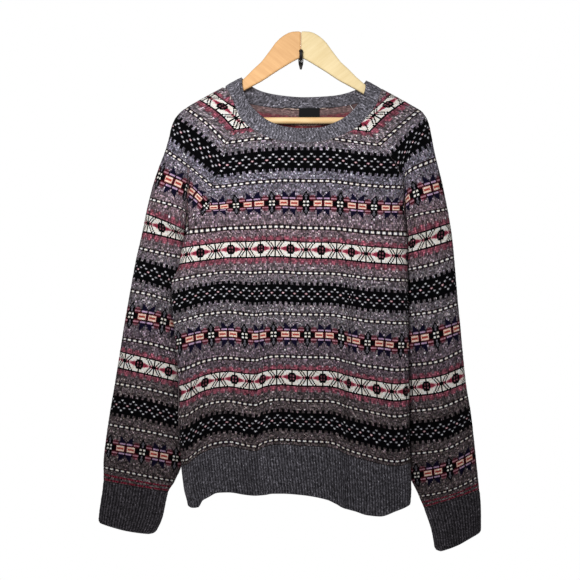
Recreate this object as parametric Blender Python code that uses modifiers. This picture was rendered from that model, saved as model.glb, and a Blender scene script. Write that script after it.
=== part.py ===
"""Fair isle jumper with raglan sleeves, on a flat wooden hanger under a small black wall hook.

Metres, +Z up, +X to the right seen from the front. The wall is the plane y = 0 and everything hangs in front of
it, towards -Y. The origin is the middle of the wall hook's back plate. Names with left and right are as seen from
the front. Sizes in this file are millimetres; "down" is the distance below the origin.

Each cloth piece is a wall lofted through rows. A row is a course of the knitting: it is laid out flat on the
garment's front and back sheets, given its depth by one shared function, and then divided evenly along the cloth.
"""

import math

import bmesh
import bpy
import numpy as np

MM = 0.001

# Cloth
CLOTH = 3.0  # stranded knit: the front yarn and the floats behind it
BAND_CLOTH = 3.6  # neckband, folded double
BAND_WIDTH = 25.0
BAND_RIBS = 56
BAND_RIB_RISE = 0.8
RIB_CLOTH = 3.0
RIB_RISE = 1.0
RIB_PITCH = 10.0
CUFF_CORNER = 9.0  # the cuffs' lower corners are round
SEAM = 0.3  # the gap that parts two pieces at a seam
SEAM_TRIM = 0.3  # taken off each end of a row; rows meet the raglan seams at a slant
NECKBAND_INSET = 0.4

# Courses, counted from the upper dotted course under the neck
PATCH_COURSE = 16
UNDERARM_COURSE = 33
HEM_SEAM_COURSE = 114
HEM_COURSE = 132
CUFF_SEAM_COURSE = 134
CUFF_COURSE = 154
CUFF_CORNER_COURSE = 151.3

# Columns of each piece's wall, its rows above the patch course, and its rows along the raglan seams
FRONT_COLUMNS = 31
BACK_COLUMNS = 23
SLEEVE_COLUMNS = 23
PATCH_ROWS = 5
RAGLAN_ROWS = 9

# How the sheets round over at their edges
CREASE_ROUND = 28.0
SLEEVE_ROUND = 24.0
ROUND_POWER = 2.2
TUBE_COURSES = (33, 42)  # over these the sleeve parts from the body
CREASE_GAP = 0.9

# Hanger
HANGER_THICK = 14.0
HANGER_Y = -40.0
HANGER_BEVEL = 3.0
HANGER_JOINT = 0.3
BAR_RADIUS = 5.7
BAR_DOWN = 105.2
BAR_SINK = 6.0
BAR_REACH = 193.0
BAR_CLEAR = 0.3

# Wall hook
HOOK_RADIUS = 3.0
HOOK_PLATE = 3.0
HOOK_ARM_UP = 1.4
HOOK_KNOB = 3.6
HOOK_TIP_UP = 14.9
HOOK_REACH = 56.0

# Label
LABEL_LEFT, LABEL_RIGHT = -3.5, 33.0
LABEL_TOP, LABEL_BOTTOM = 86.0, 98.0
LABEL_THICK = 0.8


def columns(text):
    """A table written out as text: its first line names the columns."""
    names, *rows = [line.split() for line in text.strip().splitlines()]
    return {name: np.array([float(row[i]) for row in rows]) for i, name in enumerate(names)}


# The hanger's outline from the middle to the tip, the same on both sides, and the cloth's ridge over it.
HANGER_TOP = columns("""
x      up
0      50.8
12     50.6
21     48.5
41     35
51.6   21
62     7
73.5  -7
90    -21
103   -36
115.5 -43.5
140   -58
166   -72
191   -86
202   -95.5
""")
HANGER_UNDER = columns("""
x      up
0      5.3
10     0.6
22.8  -7
45.5  -21
66.5  -35
101.5 -54
140   -80
168   -99
190   -111.5
202   -113
""")
RIDGE = columns("""
x      down
0     -51
21    -49
41    -35
51.6  -21
62    -7
73.5   7
90     20
104    29.6
116    36
140    49
166    63
191    77
""")

# Half depth of the garment in front of and behind its middle plane, and how far from its outline it is reached.
DEPTH = columns("""
down  middle  front  back  round
-60   -40     15     15    17
30    -40     15.8   15.8  17
90    -40     18.5   17    22
150   -40     23     20    30
284   -41     29     23    34
450   -43     31     24    34
620   -45     34     25    34
810   -47     36     26    34
""")

# The creases between body and sleeves. Where they are fully parted they are the body's side edges.
CREASE = columns("""
down   left    right   parted
150   -196     178     0
175   -197     178.5   0.25
196   -197     179.4   0.5
210   -197     180.3   0.65
245   -198.5   182     0.85
284   -200.5   184     1
315   -206.5   187     1
364   -215     187     1
397   -231     187.5   1
443   -230     188     1
511   -222     189     1
595   -217     189.5   1
656   -213.5   190     1
702   -210     191     1
752   -204     192.5   1
777   -198     191     1
810   -196     189.5   1
""")

# Where each course meets the raglan seam, as distances from the middle; the body's and the sleeve's courses meet here.
RAGLAN = columns("""
course  left_x  left_down  right_x  right_down
0      -131.3   145.3      134.8    148.8
8      -140     185.5      166.3    183.8
16     -154     222.3      178.5    222.3
24     -161     259        180.3    259
28     -176     271        181      274.5
""")

# The body's courses: how far down each lies in the middle, and how much more at the sides.
BODY_COURSE = columns("""
course  down
0       136
8       174.6
16      212.8
24      252.2
32      295.2
40      332.9
48      373.9
56      410.2
64      446.1
72      480.9
80      519.4
88      555.2
96      594.9
104     630.2
112     663.6
132     757.6
""")
SAG = columns("""
x       at_16   at_40   at_60   at_72   at_84   at_96   at_112  at_132
-229    12.2    11.4    15.5    14.2    31      30.5    38.9    13
-200    12.2    7.3     7       7.7     22.5    25.1    33.9    21
-189    13.3    5.9     3.3     4.9     17.5    18.7    26.3    23.9
-178.5  13.5    4.6     0       2.5     12.3    11.8    17.5    22.5
-171    13.2    3.6     -1.4    1.3     9.4     8.6     13.3    11.1
-163    12.6    2.6     -2.7    0.2     7       6       9.7     6.5
-145    11.9    0.5     -5.5    -2      3.1     2       4.3     -2.6
-126    9.5     -1.5    -6.7    -2.8    1.4     0.4     2       -3.5
-96     5       -1.9    -3      0.7     5       5.2     8       0.9
-79     2.8     -2.3    -1.6    1.7     5.9     7.1     10.6    2.8
-65     1.8     -3.4    -2.9    -0.5    1.4     1.4     3.5     1.4
-49     0.8     -3.7    -3.6    -2      -1.6    -2.1    -0.8    -1.5
-33     -0.6    -3.4    -3.5    -2.5    -2.4    -3      -2.1    -1.7
0       0.2     -1.1    -1.6    -1.4    -0.9    -0.4    0.2     0.5
44      1.2     -0.4    -1.3    -0.5    -0.1    0.1     2.4     8.8
61      3.3     0.3     -0.2    1.2     2.1     2.5     6       16.6
79      6       2.2     2.9     5.6     7.7     9.6     15.5    26
96      9.1     4       5.9     9.7     12      14.3    21.8    31
114     11.7    6.1     9       12.9    15.6    18      26.3    36.8
138     15      7.8     10.6    14      19.3    23.2    32.7    39
165     17.9    9.6     12.1    17.1    23.2    27.4    36.9    30.3
192     19.7    10.6    12.7    17.2    21.6    23.6    31.7    19
""")

SAG_COURSES = np.array([16.0, 40.0, 60.0, 72.0, 84.0, 96.0, 112.0, 132.0])

# Soft folds of the body's front: where each lies at chest and hem, its half width, its depth at the hem and the
# distance down at which it starts. A negative depth is a ridge, and where it stays the cloth to its right lies back.
FOLDS = columns("""
chest_x  hem_x  width  depth  starts  stays
-150    -165    22     8      250     0
-72     -76     15     9      380     0
20      -10     60    -5      330     0
90       74     10     12     290     1
125      135    26    -3      400     0
""")

# The garment's outline below the shoulders: the sleeves' outer edges.
OUTER = columns("""
down  left    right
77   -189     191.5
91   -211.8   213.3
105  -222.2   222
119  -227.6   226
133  -230.4   228.7
161  -238.6   234
189  -249.4   241
217  -258.6   247.9
245  -266     253.5
273  -272.6   259
315  -281.8   266.2
343  -288.6   269
371  -294     271.5
399  -299.2   273.8
427  -304.2   276.2
455  -309.2   279.2
511  -318.1   284.4
567  -327.1   290.2
623  -336.7   299.4
665  -342.7   304.2
707  -347.2   308.6
735  -347     311.6
791  -354     316.2
825  -357.2   316.4
840  -358     316.6
""")

# The sleeves' courses, from the outer edge by way of the crease or the middle to the seam. Below the underarm the
# seam lies at the sleeve's inner edge.
SLEEVE_LEFT = columns("""
course  outer_down  mid_x    mid_down  inner_x  inner_down
16      157.5       -197     185.5     -154     222.3
24      199.5   -195      226     -161     259
28      222     -197.5    250     -176     271
33      247         -199.5   273       -198.6   287
40      283     -238      294     -205     305
48      328         -246     337       -213     345
56      363         -256     374       -223     386
64      403     -265      410.5   -231     422
72      444.5   -268      450.5   -230     461
80      487     -268      495.5   -224     509.5
88      523         -270     536       -221     549
96      565.5   -273      575     -218     590
104     601     -274      611     -215.5   628
112     637.5   -275      649     -213.5   664
120     675     -278      686     -212     700
128     713         -284     725.5     -222     738
134     738         -290     748       -234     758
144     780         -298      793       -245     805
154     814.5       -305      825.5     -258     832
""")
SLEEVE_RIGHT = columns("""
course  outer_down  mid_x    mid_down  inner_x  inner_down
16      172.4       181      203       178.5    222.3
24      217         183      245       180.3    259
28      239         184      266       182      274.5
33      265         185      284       183.8    290
40      299     226       311.5   190      322
48      343.5   228       358     188      367
56      384     230       399     188      406
64      426     231       440.5   189      446.5
72      467     234       481.5   190      490
80      507     236       528.5   191      534.5
88      551     238       568     191      574.5
96      588     241       609     191      615.5
104     623.5       244      647       191.5    652.5
112     655.5       247      683.5     193      690.5
120     691         250      717.5     198      729
128     730     260       754     208      765
134     754         264      770       217      786
144     796         272      812       231      828
154     832         276      850       237      862.5
""")
# The sleeves' middle plane at the seam and at the outer edge, their half depth, and how far the seam lies behind the
# body's edge.
SLEEVE_DEPTH = columns("""
course  seam_y  outer_y  half  tuck
33      -40     -39      25    0
37      -34     -35      22    0
42      -23     -31      20    3.5
48      -20.5   -28      18.5  5
60      -20     -27      18    5
90      -20     -27      18    5
118     -20     -27      17    5
128     -21     -27      16    0
154     -23     -26      14    0
""")

# The neckband, station by station round the neck from the left shoulder over the front: its outer edge, which is
# sewn to the body, and its free inner edge. The ridge of the shoulders crosses it at two of them.
NECK = columns("""
outer_x   outer_down  inner_x  inner_down
-132      44.6        -104     29.6
-125      57          -102.4   46
-117      75          -98      61
-107.6    98          -90      77
-91       117         -76      92
-68       131         -58      106
-37       141.5       -30      116.5
0         145         0        120
37        142.5       33       118.5
68        133         59.5     109.5
94.5      120         81.4     97
114.6     100.5       98       79
129.5     81          108.5    62
138       59.5        113      46.5
141       50.5        114      35
124       63          105      45
100       72          85.8     54
59.5      79.5        56       60.5
5         81.5        5        63
-45.5     80          -43.8    58.5
-87.5     73.5        -73.5    51
-113.7    62          -92      40
""")
FRONT_RAGLAN_TOPS = (3.35, 10.6)  # stations where the front raglan seams reach the neckband
BACK_RAGLAN_TOPS = (20.1, 16.4)
RIDGE_STATIONS = (0.0, 14.0)
STATIONS = len(NECK["outer_x"])


def smooth(at, xs, ys):
    """ys over rising xs, joined by a curve that doesn't overshoot."""
    at = np.clip(at, xs[0], xs[-1])
    step = np.diff(xs)
    rise = np.diff(ys) / step
    before, after = rise[:-1], rise[1:]
    same_way = before * after > 0
    total = np.where(same_way, before + after, 1.0)
    inner = np.where(same_way, 2 * before * after / total, 0.0)
    slope = np.concatenate([rise[:1], inner, rise[-1:]])
    k = np.clip(np.searchsorted(xs, at, side="right") - 1, 0, len(xs) - 2)
    t = (at - xs[k]) / step[k]
    start = ys[k] * (1 + 2 * t) + slope[k] * step[k] * t
    end = ys[k + 1] * (3 - 2 * t) + slope[k + 1] * step[k] * (t - 1)
    return start * (1 - t) ** 2 + end * t * t


def ease(t):
    t = np.clip(t, 0, 1)
    return t * t * (3 - 2 * t)


def rounding(share, power=1 / ROUND_POWER):
    """From 0 at an edge to 1 a full rounding away from it."""
    inward = np.clip(share, 0, 1)
    return (1 - (1 - inward) ** ROUND_POWER) ** power


def along(points, shares):
    """Points at these shares of a polyline's length."""
    points = np.asarray(points, float)
    length = np.concatenate([[0], np.cumsum(np.linalg.norm(np.diff(points, axis=0), axis=1))])
    at = np.asarray(shares) * length[-1]
    return np.stack([np.interp(at, length, points[:, i]) for i in range(points.shape[1])], -1)


def distance_to(line, x, down):
    """How far points of a sheet lie from a polyline."""
    start, end = line[:-1, None, :], line[1:, None, :]
    point = np.stack([np.ravel(x), np.ravel(down)], -1)[None]
    run = end - start
    t = np.clip(((point - start) * run).sum(-1) / (run * run).sum(-1), 0, 1)
    near = start + t[..., None] * run
    return np.linalg.norm(point - near, axis=-1).min(0).reshape(np.shape(x))


def outer_x(down, side):
    return smooth(down, OUTER["down"], OUTER["left" if side < 0 else "right"])


def shoulder_line(side, start=0.0, lowest=420.0):
    """The garment's outline from a distance off the middle, over the shoulder and down the sleeve."""
    xs = np.linspace(start, RIDGE["x"][-1], 40)
    over = np.stack([side * xs, smooth(xs, RIDGE["x"], RIDGE["down"])], -1)
    downs = np.linspace(OUTER["down"][0], lowest, 70)[1:]
    return np.concatenate([over, np.stack([outer_x(downs, side), downs], -1)])


OUTLINE = np.concatenate([shoulder_line(-1)[:0:-1], shoulder_line(1)])


def fold_relief(x, down):
    """How much the front sheet's folds push it back."""
    relief = np.zeros(np.shape(x))
    lowest = BODY_COURSE["down"][-1]
    for chest_x, hem_x, width, depth, starts, stays in zip(*FOLDS.values()):
        share = np.clip((down - starts) / (lowest - starts), 0, 1)
        off = (x - chest_x - (hem_x - chest_x) * share) / width
        form = ease(off / 2 + 0.5) if stays else np.exp(-(off**2))
        relief = relief + depth * ease(1.4 * share) * form
    return relief


def sheet_y(x, down, side):
    """Depth of the garment's front (side -1) or back (side 1) sheet, for body and shoulders."""
    middle = smooth(down, DEPTH["down"], DEPTH["middle"])
    half = smooth(down, DEPTH["down"], DEPTH["front" if side < 0 else "back"])
    rise = rounding(distance_to(OUTLINE, x, down) / smooth(down, DEPTH["down"], DEPTH["round"]))
    parted = smooth(down, CREASE["down"], CREASE["parted"])
    power = 1 + (1 / ROUND_POWER - 1) * parted
    for name in ("left", "right"):
        off = np.abs(x - smooth(down, CREASE["down"], CREASE[name]))
        rise = rise * (1 - parted * (1 - rounding(off / CREASE_ROUND, power)))
    depth = half * rise
    if side < 0:
        inside = (x - smooth(down, CREASE["down"], CREASE["left"])) / CREASE_ROUND
        inside_too = (smooth(down, CREASE["down"], CREASE["right"]) - x) / CREASE_ROUND
        depth = depth - fold_relief(x, down) * ease(inside) * ease(inside_too)
    return middle + side * depth


def body_down(x, course):
    """How far down a course of the body lies at x."""
    middle = smooth(course, BODY_COURSE["course"], BODY_COURSE["down"])
    sags = [smooth(x, SAG["x"], SAG[f"at_{own:.0f}"]) for own in SAG_COURSES]
    weights = [smooth(course, SAG_COURSES, row) for row in np.eye(len(SAG_COURSES))]
    return middle + sum(w * s for w, s in zip(weights, sags))


def spread(count=420):
    """Shares from 0 to 1, close together at both ends, where the cloth turns."""
    return (1 - np.cos(np.linspace(0, math.pi, count))) / 2


def body_edges(course):
    """Where a course below the underarm meets the body's left and right edges, as x and down."""
    ends = np.array([CREASE["left"][5], CREASE["right"][5]])
    for _ in range(6):
        downs = body_down(ends, course)
        ends = np.array([smooth(downs[i], CREASE["down"], CREASE[name]) for i, name in enumerate(("left", "right"))])
    return np.stack([ends, body_down(ends, course)], -1)


UNDERARM = body_edges(UNDERARM_COURSE)


def raglan(side, course):
    name, end = ("left", UNDERARM[0]) if side < 0 else ("right", UNDERARM[1])
    courses = np.append(RAGLAN["course"], UNDERARM_COURSE)
    xs, downs = np.append(RAGLAN[name + "_x"], end[0]), np.append(RAGLAN[name + "_down"], end[1])
    return np.stack([smooth(course, courses, xs), smooth(course, courses, downs)], -1)


def neck_edge(station, which="outer"):
    """A point of the neckband's outer or inner edge as x and down."""
    wrapped = np.arange(-3, STATIONS + 3)
    values = [NECK[f"{which}_{axis}"][wrapped % STATIONS] for axis in ("x", "down")]
    return np.stack([smooth(np.mod(station, STATIONS), wrapped.astype(float), v) for v in values], -1)


def raglan_line(side, sheet):
    """The raglan seam from the neckband to the patch course, on the front (-1) or back (1) sheet."""
    tops = FRONT_RAGLAN_TOPS if sheet < 0 else BACK_RAGLAN_TOPS
    top = neck_edge(tops[0 if side < 0 else 1])
    return np.concatenate([[top], raglan(side, np.linspace(0, PATCH_COURSE, 17))])


def coons(top, bottom, start, end, share, count):
    """One row of a patch between four polylines; share is 0 at the top and 1 at the bottom."""
    t = spread(count)[:, None]
    upper, lower = along(top, t[:, 0]), along(bottom, t[:, 0])
    left, right = along(start, [share])[0], along(end, [share])[0]
    ruled = (1 - share) * upper + share * lower + (1 - t) * left + t * right
    corners = (1 - share) * ((1 - t) * upper[0] + t * upper[-1]) + share * ((1 - t) * lower[0] + t * lower[-1])
    return ruled - corners


def body_course(course, sheet):
    """A course of the front (-1) or back (1) from edge to edge, as x and down."""
    if course < UNDERARM_COURSE:
        left, right = raglan(-1, course), raglan(1, course)
    else:
        left, right = body_edges(course)
    t = spread()
    x = left[0] + (right[0] - left[0]) * t
    down = body_down(x, course)
    miss_left, miss_right = left[1] - down[0], right[1] - down[-1]
    return np.stack([x, down + miss_left * (1 - t) ** 3 + miss_right * t**3], -1)


def body_row(row, sheet, closed_edges):
    """x and down of a row turned into places in space."""
    y = sheet_y(row[:, 0], row[:, 1], sheet)
    if closed_edges:
        middle = smooth(row[[0, -1], 1], DEPTH["down"], DEPTH["middle"])
        y[0], y[-1] = middle
    return np.stack([row[:, 0], y, -row[:, 1]], -1)


def body_rows(sheet, courses, patch_rows):
    """The rows of the front or back panel from the neck down."""
    tops = FRONT_RAGLAN_TOPS if sheet < 0 else BACK_RAGLAN_TOPS
    neck = neck_edge(np.linspace(tops[0], tops[1], 60))
    patch_end = body_course(PATCH_COURSE, sheet)
    rows = []
    for share in np.linspace(0, 1, patch_rows + 1)[:-1]:
        row = coons(neck, patch_end, raglan_line(-1, sheet), raglan_line(1, sheet), share, 420)
        rows.append(body_row(row, sheet, False))
    for course in courses:
        rows.append(body_row(body_course(course, sheet), sheet, course >= UNDERARM_COURSE))
    return rows


def corner_inset(course):
    """How far the cuff's corners round in at this course."""
    share = np.clip((course - CUFF_CORNER_COURSE) / (CUFF_COURSE - CUFF_CORNER_COURSE), 0, 1)
    return CUFF_CORNER * (1 - math.sqrt(1 - share**2))


def sleeve_half(table, side, course, sheet):
    """Half a course of a sleeve, from its seam to its outer edge, as places in space."""
    at = {name: smooth(course, table["course"], values) for name, values in table.items()}
    inner = np.array([at["inner_x"], at["inner_down"]])
    if course <= UNDERARM_COURSE:
        inner = raglan(side, course)
    else:
        tuck = smooth(course, SLEEVE_DEPTH["course"], SLEEVE_DEPTH["tuck"])
        free = ease((course - 116) / 12)
        edge = smooth(inner[1], CREASE["down"], CREASE["left" if side < 0 else "right"])
        behind = edge + side * (CREASE_GAP - tuck)
        inner[0] = behind * (1 - free) + inner[0] * free
    outer = np.array([outer_x(at["outer_down"], side), at["outer_down"]])
    inner[0] += side * corner_inset(course)
    outer[0] -= side * corner_inset(course)
    middle_point = np.array([at["mid_x"], at["mid_down"]])
    halfway = ease((course - TUBE_COURSES[0]) / (TUBE_COURSES[1] - TUBE_COURSES[0]))
    middle_point[0] += halfway * ((inner[0] + outer[0]) / 2 - middle_point[0])
    t = spread()
    knots = np.array([0.0, 0.5, 1.0])
    lengths = [np.linalg.norm(middle_point - inner), np.linalg.norm(outer - middle_point)]
    knots[1] = lengths[0] / sum(lengths)
    path = [smooth(t, knots, np.array([inner[i], middle_point[i], outer[i]])) for i in (0, 1)]
    x, down = path
    return np.stack([x, sleeve_y(x, down, course, sheet, t, sum(lengths)), -down], -1)


def sleeve_y(x, down, course, sheet, t, width):
    """Depth of a sleeve: the body's sheet at the shoulder, its own flat tube below the underarm."""
    on_sheet = sheet_y(x, down, sheet)
    on_sheet[-1] = smooth(down[-1], DEPTH["down"], DEPTH["middle"])
    tube = ease((course - TUBE_COURSES[0]) / (TUBE_COURSES[1] - TUBE_COURSES[0]))
    if course >= UNDERARM_COURSE:
        on_sheet[0] = smooth(down[0], DEPTH["down"], DEPTH["middle"])
    if tube == 0:
        return on_sheet
    seam_y, outer_y, half = (
        smooth(course, SLEEVE_DEPTH["course"], SLEEVE_DEPTH[name]) for name in ("seam_y", "outer_y", "half")
    )
    middle = seam_y + (outer_y - seam_y) * ease(2 * t)
    swell = rounding(t * width / SLEEVE_ROUND) * rounding((1 - t) * width / SLEEVE_ROUND)
    return on_sheet * (1 - tube) + (middle + sheet * half * swell) * tube


def sleeve_rows(side, courses, patch_rows):
    """The rows of a sleeve from the neck down, each from the front seam over the outer edge to the back seam."""
    table = SLEEVE_LEFT if side < 0 else SLEEVE_RIGHT
    station = RIDGE_STATIONS[0 if side < 0 else 1]
    top_point = neck_edge(station)
    fall = shoulder_line(side, abs(top_point[0]), table["outer_down"][0])
    outer_side = np.concatenate([[top_point], fall[1:]])
    rows = []
    for share in np.linspace(0, 1, patch_rows + 1)[:-1]:
        halves = []
        for sheet, tops in ((-1, FRONT_RAGLAN_TOPS), (1, BACK_RAGLAN_TOPS)):
            seam_station = tops[0 if side < 0 else 1]
            span = (seam_station - station + STATIONS / 2) % STATIONS - STATIONS / 2
            neck = neck_edge(station + np.linspace(span, 0, 60))
            foot = sleeve_half(table, side, PATCH_COURSE, sheet)
            row = coons(neck, foot[:, [0, 2]] * [1, -1], raglan_line(side, sheet), outer_side, share, 420)
            y = sheet_y(row[:, 0], row[:, 1], sheet)
            y[-1] = smooth(row[-1, 1], DEPTH["down"], DEPTH["middle"])
            halves.append(np.stack([row[:, 0], y, -row[:, 1]], -1))
        rows.append(np.concatenate([halves[0], halves[1][::-1][1:]]))
    for course in courses:
        halves = [sleeve_half(table, side, course, sheet) for sheet in (-1, 1)]
        rows.append(np.concatenate([halves[0], halves[1][::-1][1:]]))
    return rows


def divide(rows, shares, trim=SEAM_TRIM):
    """Each row's points at these shares of its length, less the seam's gap at both ends, and the row's direction."""
    points, ways = [], []
    for row in rows:
        length = np.concatenate([[0], np.cumsum(np.linalg.norm(np.diff(row, axis=0), axis=1))])
        at = trim + np.asarray(shares) * (length[-1] - 2 * trim)
        step = min(1.0, length[-1] / 50)
        place = lambda s: np.stack([np.interp(s, length, row[:, i]) for i in range(3)], -1)
        points.append(place(at))
        ways.append(place(np.minimum(at + step, length[-1])) - place(np.maximum(at - step, 0)))
    return np.array(points), np.array(ways)


def normals(points, ways, facing):
    """Directions out of the cloth; facing is 1 or -1."""
    across = np.gradient(points, axis=0)
    out = np.cross(ways, across) * facing
    return out / np.linalg.norm(out, axis=-1, keepdims=True)


def seam_normals(points, sheet):
    """Directions out of a sheet at a raglan seam: the same ones for both pieces that meet there."""
    x, down, step = points[:, 0], -points[:, 2], 3.0
    slope_x = (sheet_y(x + step, down, sheet) - sheet_y(x - step, down, sheet)) / (2 * step)
    slope_down = (sheet_y(x, down + step, sheet) - sheet_y(x, down - step, sheet)) / (2 * step)
    out = np.stack([-slope_x, np.ones(len(x)), slope_down], -1) * sheet
    return out / np.linalg.norm(out, axis=-1, keepdims=True)


def between(grid, finer):
    """The grid with more columns, straight between its own."""
    at = np.linspace(0, grid.shape[1] - 1, (grid.shape[1] - 1) * finer + 1)
    start = np.minimum(at.astype(int), grid.shape[1] - 2)
    t = (at - start)[None, :, None]
    return grid[:, start] * (1 - t) + grid[:, start + 1] * t


def cloth_wall(name, outer, inner, material, closed=False):
    """A closed wall between two grids of rows; closed joins each row's end to its start."""
    rows, count = outer.shape[:2]
    mesh = bpy.data.meshes.new(name)
    build = bmesh.new()
    sheets = [[[build.verts.new(p * MM) for p in row] for row in grid] for grid in (outer, inner)]
    steps = range(count if closed else count - 1)
    for i in range(rows - 1):
        for j in steps:
            k = (j + 1) % count
            for sheet in sheets:
                build.faces.new([sheet[i][j], sheet[i][k], sheet[i + 1][k], sheet[i + 1][j]])
    for i in (0, rows - 1):
        for j in steps:
            k = (j + 1) % count
            build.faces.new([sheets[0][i][j], sheets[0][i][k], sheets[1][i][k], sheets[1][i][j]])
    if not closed:
        for j in (0, count - 1):
            for i in range(rows - 1):
                build.faces.new([sheets[0][i][j], sheets[0][i + 1][j], sheets[1][i + 1][j], sheets[1][i][j]])
    bmesh.ops.recalc_face_normals(build, faces=build.faces)
    build.to_mesh(mesh)
    build.free()
    mesh.shade_smooth()
    return place_object(name, mesh, material)


def place_object(name, mesh, material):
    ob = bpy.data.objects.new(name, mesh)
    PARTS.objects.link(ob)
    mesh.materials.clear()
    mesh.materials.append(material)
    return ob


def paint(name, colour, roughness):
    """A plain finish from an sRGB colour."""
    linear = [c / 12.92 if c <= 0.04045 else ((c + 0.055) / 1.055) ** 2.4 for c in colour]
    material = bpy.data.materials.new(name)
    material.use_nodes = True
    shader = material.node_tree.nodes["Principled BSDF"]
    shader.inputs["Base Color"].default_value = (*linear, 1)
    shader.inputs["Roughness"].default_value = roughness
    return material


def even(count):
    return np.linspace(0, 1, count)


def rib_heights(count, rise=RIB_RISE):
    """Every second column of a band stands proud: knit ribs between purl furrows."""
    return np.where(np.arange(count) % 2 == 0, 0.0, rise)[None, :, None]


def make_panels(knit):
    """Front and back, from neck and raglan seams to the hem ribs."""
    courses = [16, 20, 24, 28, 33, 37, 42, 48, 56, 64, 72, 80, 88, 96, 104, HEM_SEAM_COURSE - 0.05]
    for name, sheet, count in (("front_panel", -1, FRONT_COLUMNS), ("back_panel", 1, BACK_COLUMNS)):
        points, ways = divide(body_rows(sheet, courses, PATCH_ROWS), even(count))
        out = normals(points, ways, sheet)
        for column in (0, -1):
            out[:RAGLAN_ROWS, column] = seam_normals(points[:RAGLAN_ROWS, column], sheet)
        cloth_wall(name, points, points - out * CLOTH, knit)


def make_sleeves(knit):
    courses = [16, 20, 24, 28, 33, 37, 42, 48, 54, 60, 68, 77, 86, 95, 104, 113, 122, CUFF_SEAM_COURSE - 0.05]
    for name, side in (("sleeve_left", -1), ("sleeve_right", 1)):
        points, ways = divide(sleeve_rows(side, courses, PATCH_ROWS), even(SLEEVE_COLUMNS))
        out = normals(points, ways, -side)
        for column, sheet in ((0, -1), (-1, 1)):
            out[:RAGLAN_ROWS, column] = seam_normals(points[:RAGLAN_ROWS, column], sheet)
        cloth_wall(name, points, points - out * CLOTH, knit)


def make_hem_ribs(rib):
    """Ribbed bands under the front and the back, laid on the same columns as the panels."""
    courses = [HEM_SEAM_COURSE + 0.05, 120, 126, HEM_COURSE]
    for name, sheet, count, finer in (
        ("hem_rib_front", -1, FRONT_COLUMNS, 3),
        ("hem_rib_back", 1, BACK_COLUMNS, 4),
    ):
        rows = [body_row(body_course(course, sheet), sheet, True) for course in courses]
        points, ways = divide(rows, even(count))
        out = between(normals(points, ways, sheet), finer)
        points = between(points, finer)
        cloth_wall(name, points + out * rib_heights(points.shape[1]), points - out * RIB_CLOTH, rib)


def make_cuffs(rib):
    """Ribbed bands round the wrists: whole tubes."""
    courses = [CUFF_SEAM_COURSE + 0.05, 141, 148, CUFF_CORNER_COURSE, 153.2, CUFF_COURSE]
    for name, side in (("cuff_left", -1), ("cuff_right", 1)):
        table = SLEEVE_LEFT if side < 0 else SLEEVE_RIGHT
        rows = []
        for course in courses:
            halves = [sleeve_half(table, side, course, sheet) for sheet in (-1, 1)]
            rows.append(np.concatenate([halves[0], halves[1][::-1][1:]]))
        points, ways = divide(rows, even(SLEEVE_COLUMNS), 0)
        out = normals(points, ways, -side)
        points, out = between(points, 3)[:, :-1], between(out, 3)[:, :-1]
        heights = rib_heights(points.shape[1])
        cloth_wall(name, points + out * heights, points - out * RIB_CLOTH, rib, closed=True)


def neckband_row(share, stations):
    """A line round the neckband between its outer edge (0) and its inner edge (1), as places in space."""
    outer, inner = neck_edge(stations), neck_edge(stations, "inner")
    flat = outer + (inner - outer) * share
    front, back = (sheet_y(flat[:, 0], flat[:, 1], sheet) for sheet in (-1, 1))
    in_front = (stations > RIDGE_STATIONS[0]) & (stations < RIDGE_STATIONS[1])
    return np.stack([flat[:, 0], np.where(in_front, front, back), -flat[:, 1]], -1)


def make_neckband(rib):
    """The crew neckband, a ribbed ring that runs over both arms of the hanger."""
    shares = (NECKBAND_INSET / BAND_WIDTH, 0.5, 1.0)
    rows = [neckband_row(share, np.linspace(0, STATIONS, 1200)) for share in shares]
    points, ways = divide(rows, even(2 * BAND_RIBS + 1)[:-1], 0)
    ways[:, 0] = points[:, 1] - points[:, -1]
    out = normals(points, ways, 1)
    heights = rib_heights(points.shape[1], BAND_RIB_RISE)
    cloth_wall("neckband", points + out * heights, points - out * BAND_CLOTH, rib, closed=True)


def make_label(dark):
    """A bare woven label on the inside of the back, laid on the back panel's inner face."""
    xs, downs = np.linspace(LABEL_LEFT, LABEL_RIGHT, 5), np.linspace(LABEL_TOP, LABEL_BOTTOM, 3)
    x, down = np.meshgrid(xs, downs)
    near = sheet_y(x, down, 1) - CLOTH - SEAM
    outer = np.stack([x, near, -down], -1)
    cloth_wall("neck_label", outer, outer - np.array([0, LABEL_THICK, 0]), dark)


def outline_mesh(name, points, thick):
    """A flat outline in the XZ plane, thick along Y, as a mesh object's data."""
    curve = bpy.data.curves.new(name, "CURVE")
    curve.dimensions = "2D"
    curve.fill_mode = "BOTH"
    curve.extrude = thick / 2 * MM
    spline = curve.splines.new("POLY")
    spline.points.add(len(points) - 1)
    for point, (x, up) in zip(spline.points, points):
        point.co = (x * MM, up * MM, 0, 1)
    spline.use_cyclic_u = True
    flat = bpy.data.objects.new(name + "_outline", curve)
    PARTS.objects.link(flat)
    flat.rotation_euler = (math.pi / 2, 0, 0)
    return curve_to_mesh(flat, name)


def curve_to_mesh(curve_object, name):
    """The curve object's shape as a mesh in world space; the curve is removed."""
    bpy.context.view_layer.update()
    graph = bpy.context.evaluated_depsgraph_get()
    mesh = bpy.data.meshes.new_from_object(curve_object.evaluated_get(graph))
    mesh.name = name
    mesh.transform(curve_object.matrix_world)
    build = bmesh.new()
    build.from_mesh(mesh)
    bmesh.ops.remove_doubles(build, verts=build.verts, dist=0.00001)
    build.to_mesh(mesh)
    build.free()
    bpy.data.objects.remove(curve_object)
    return mesh


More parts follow.
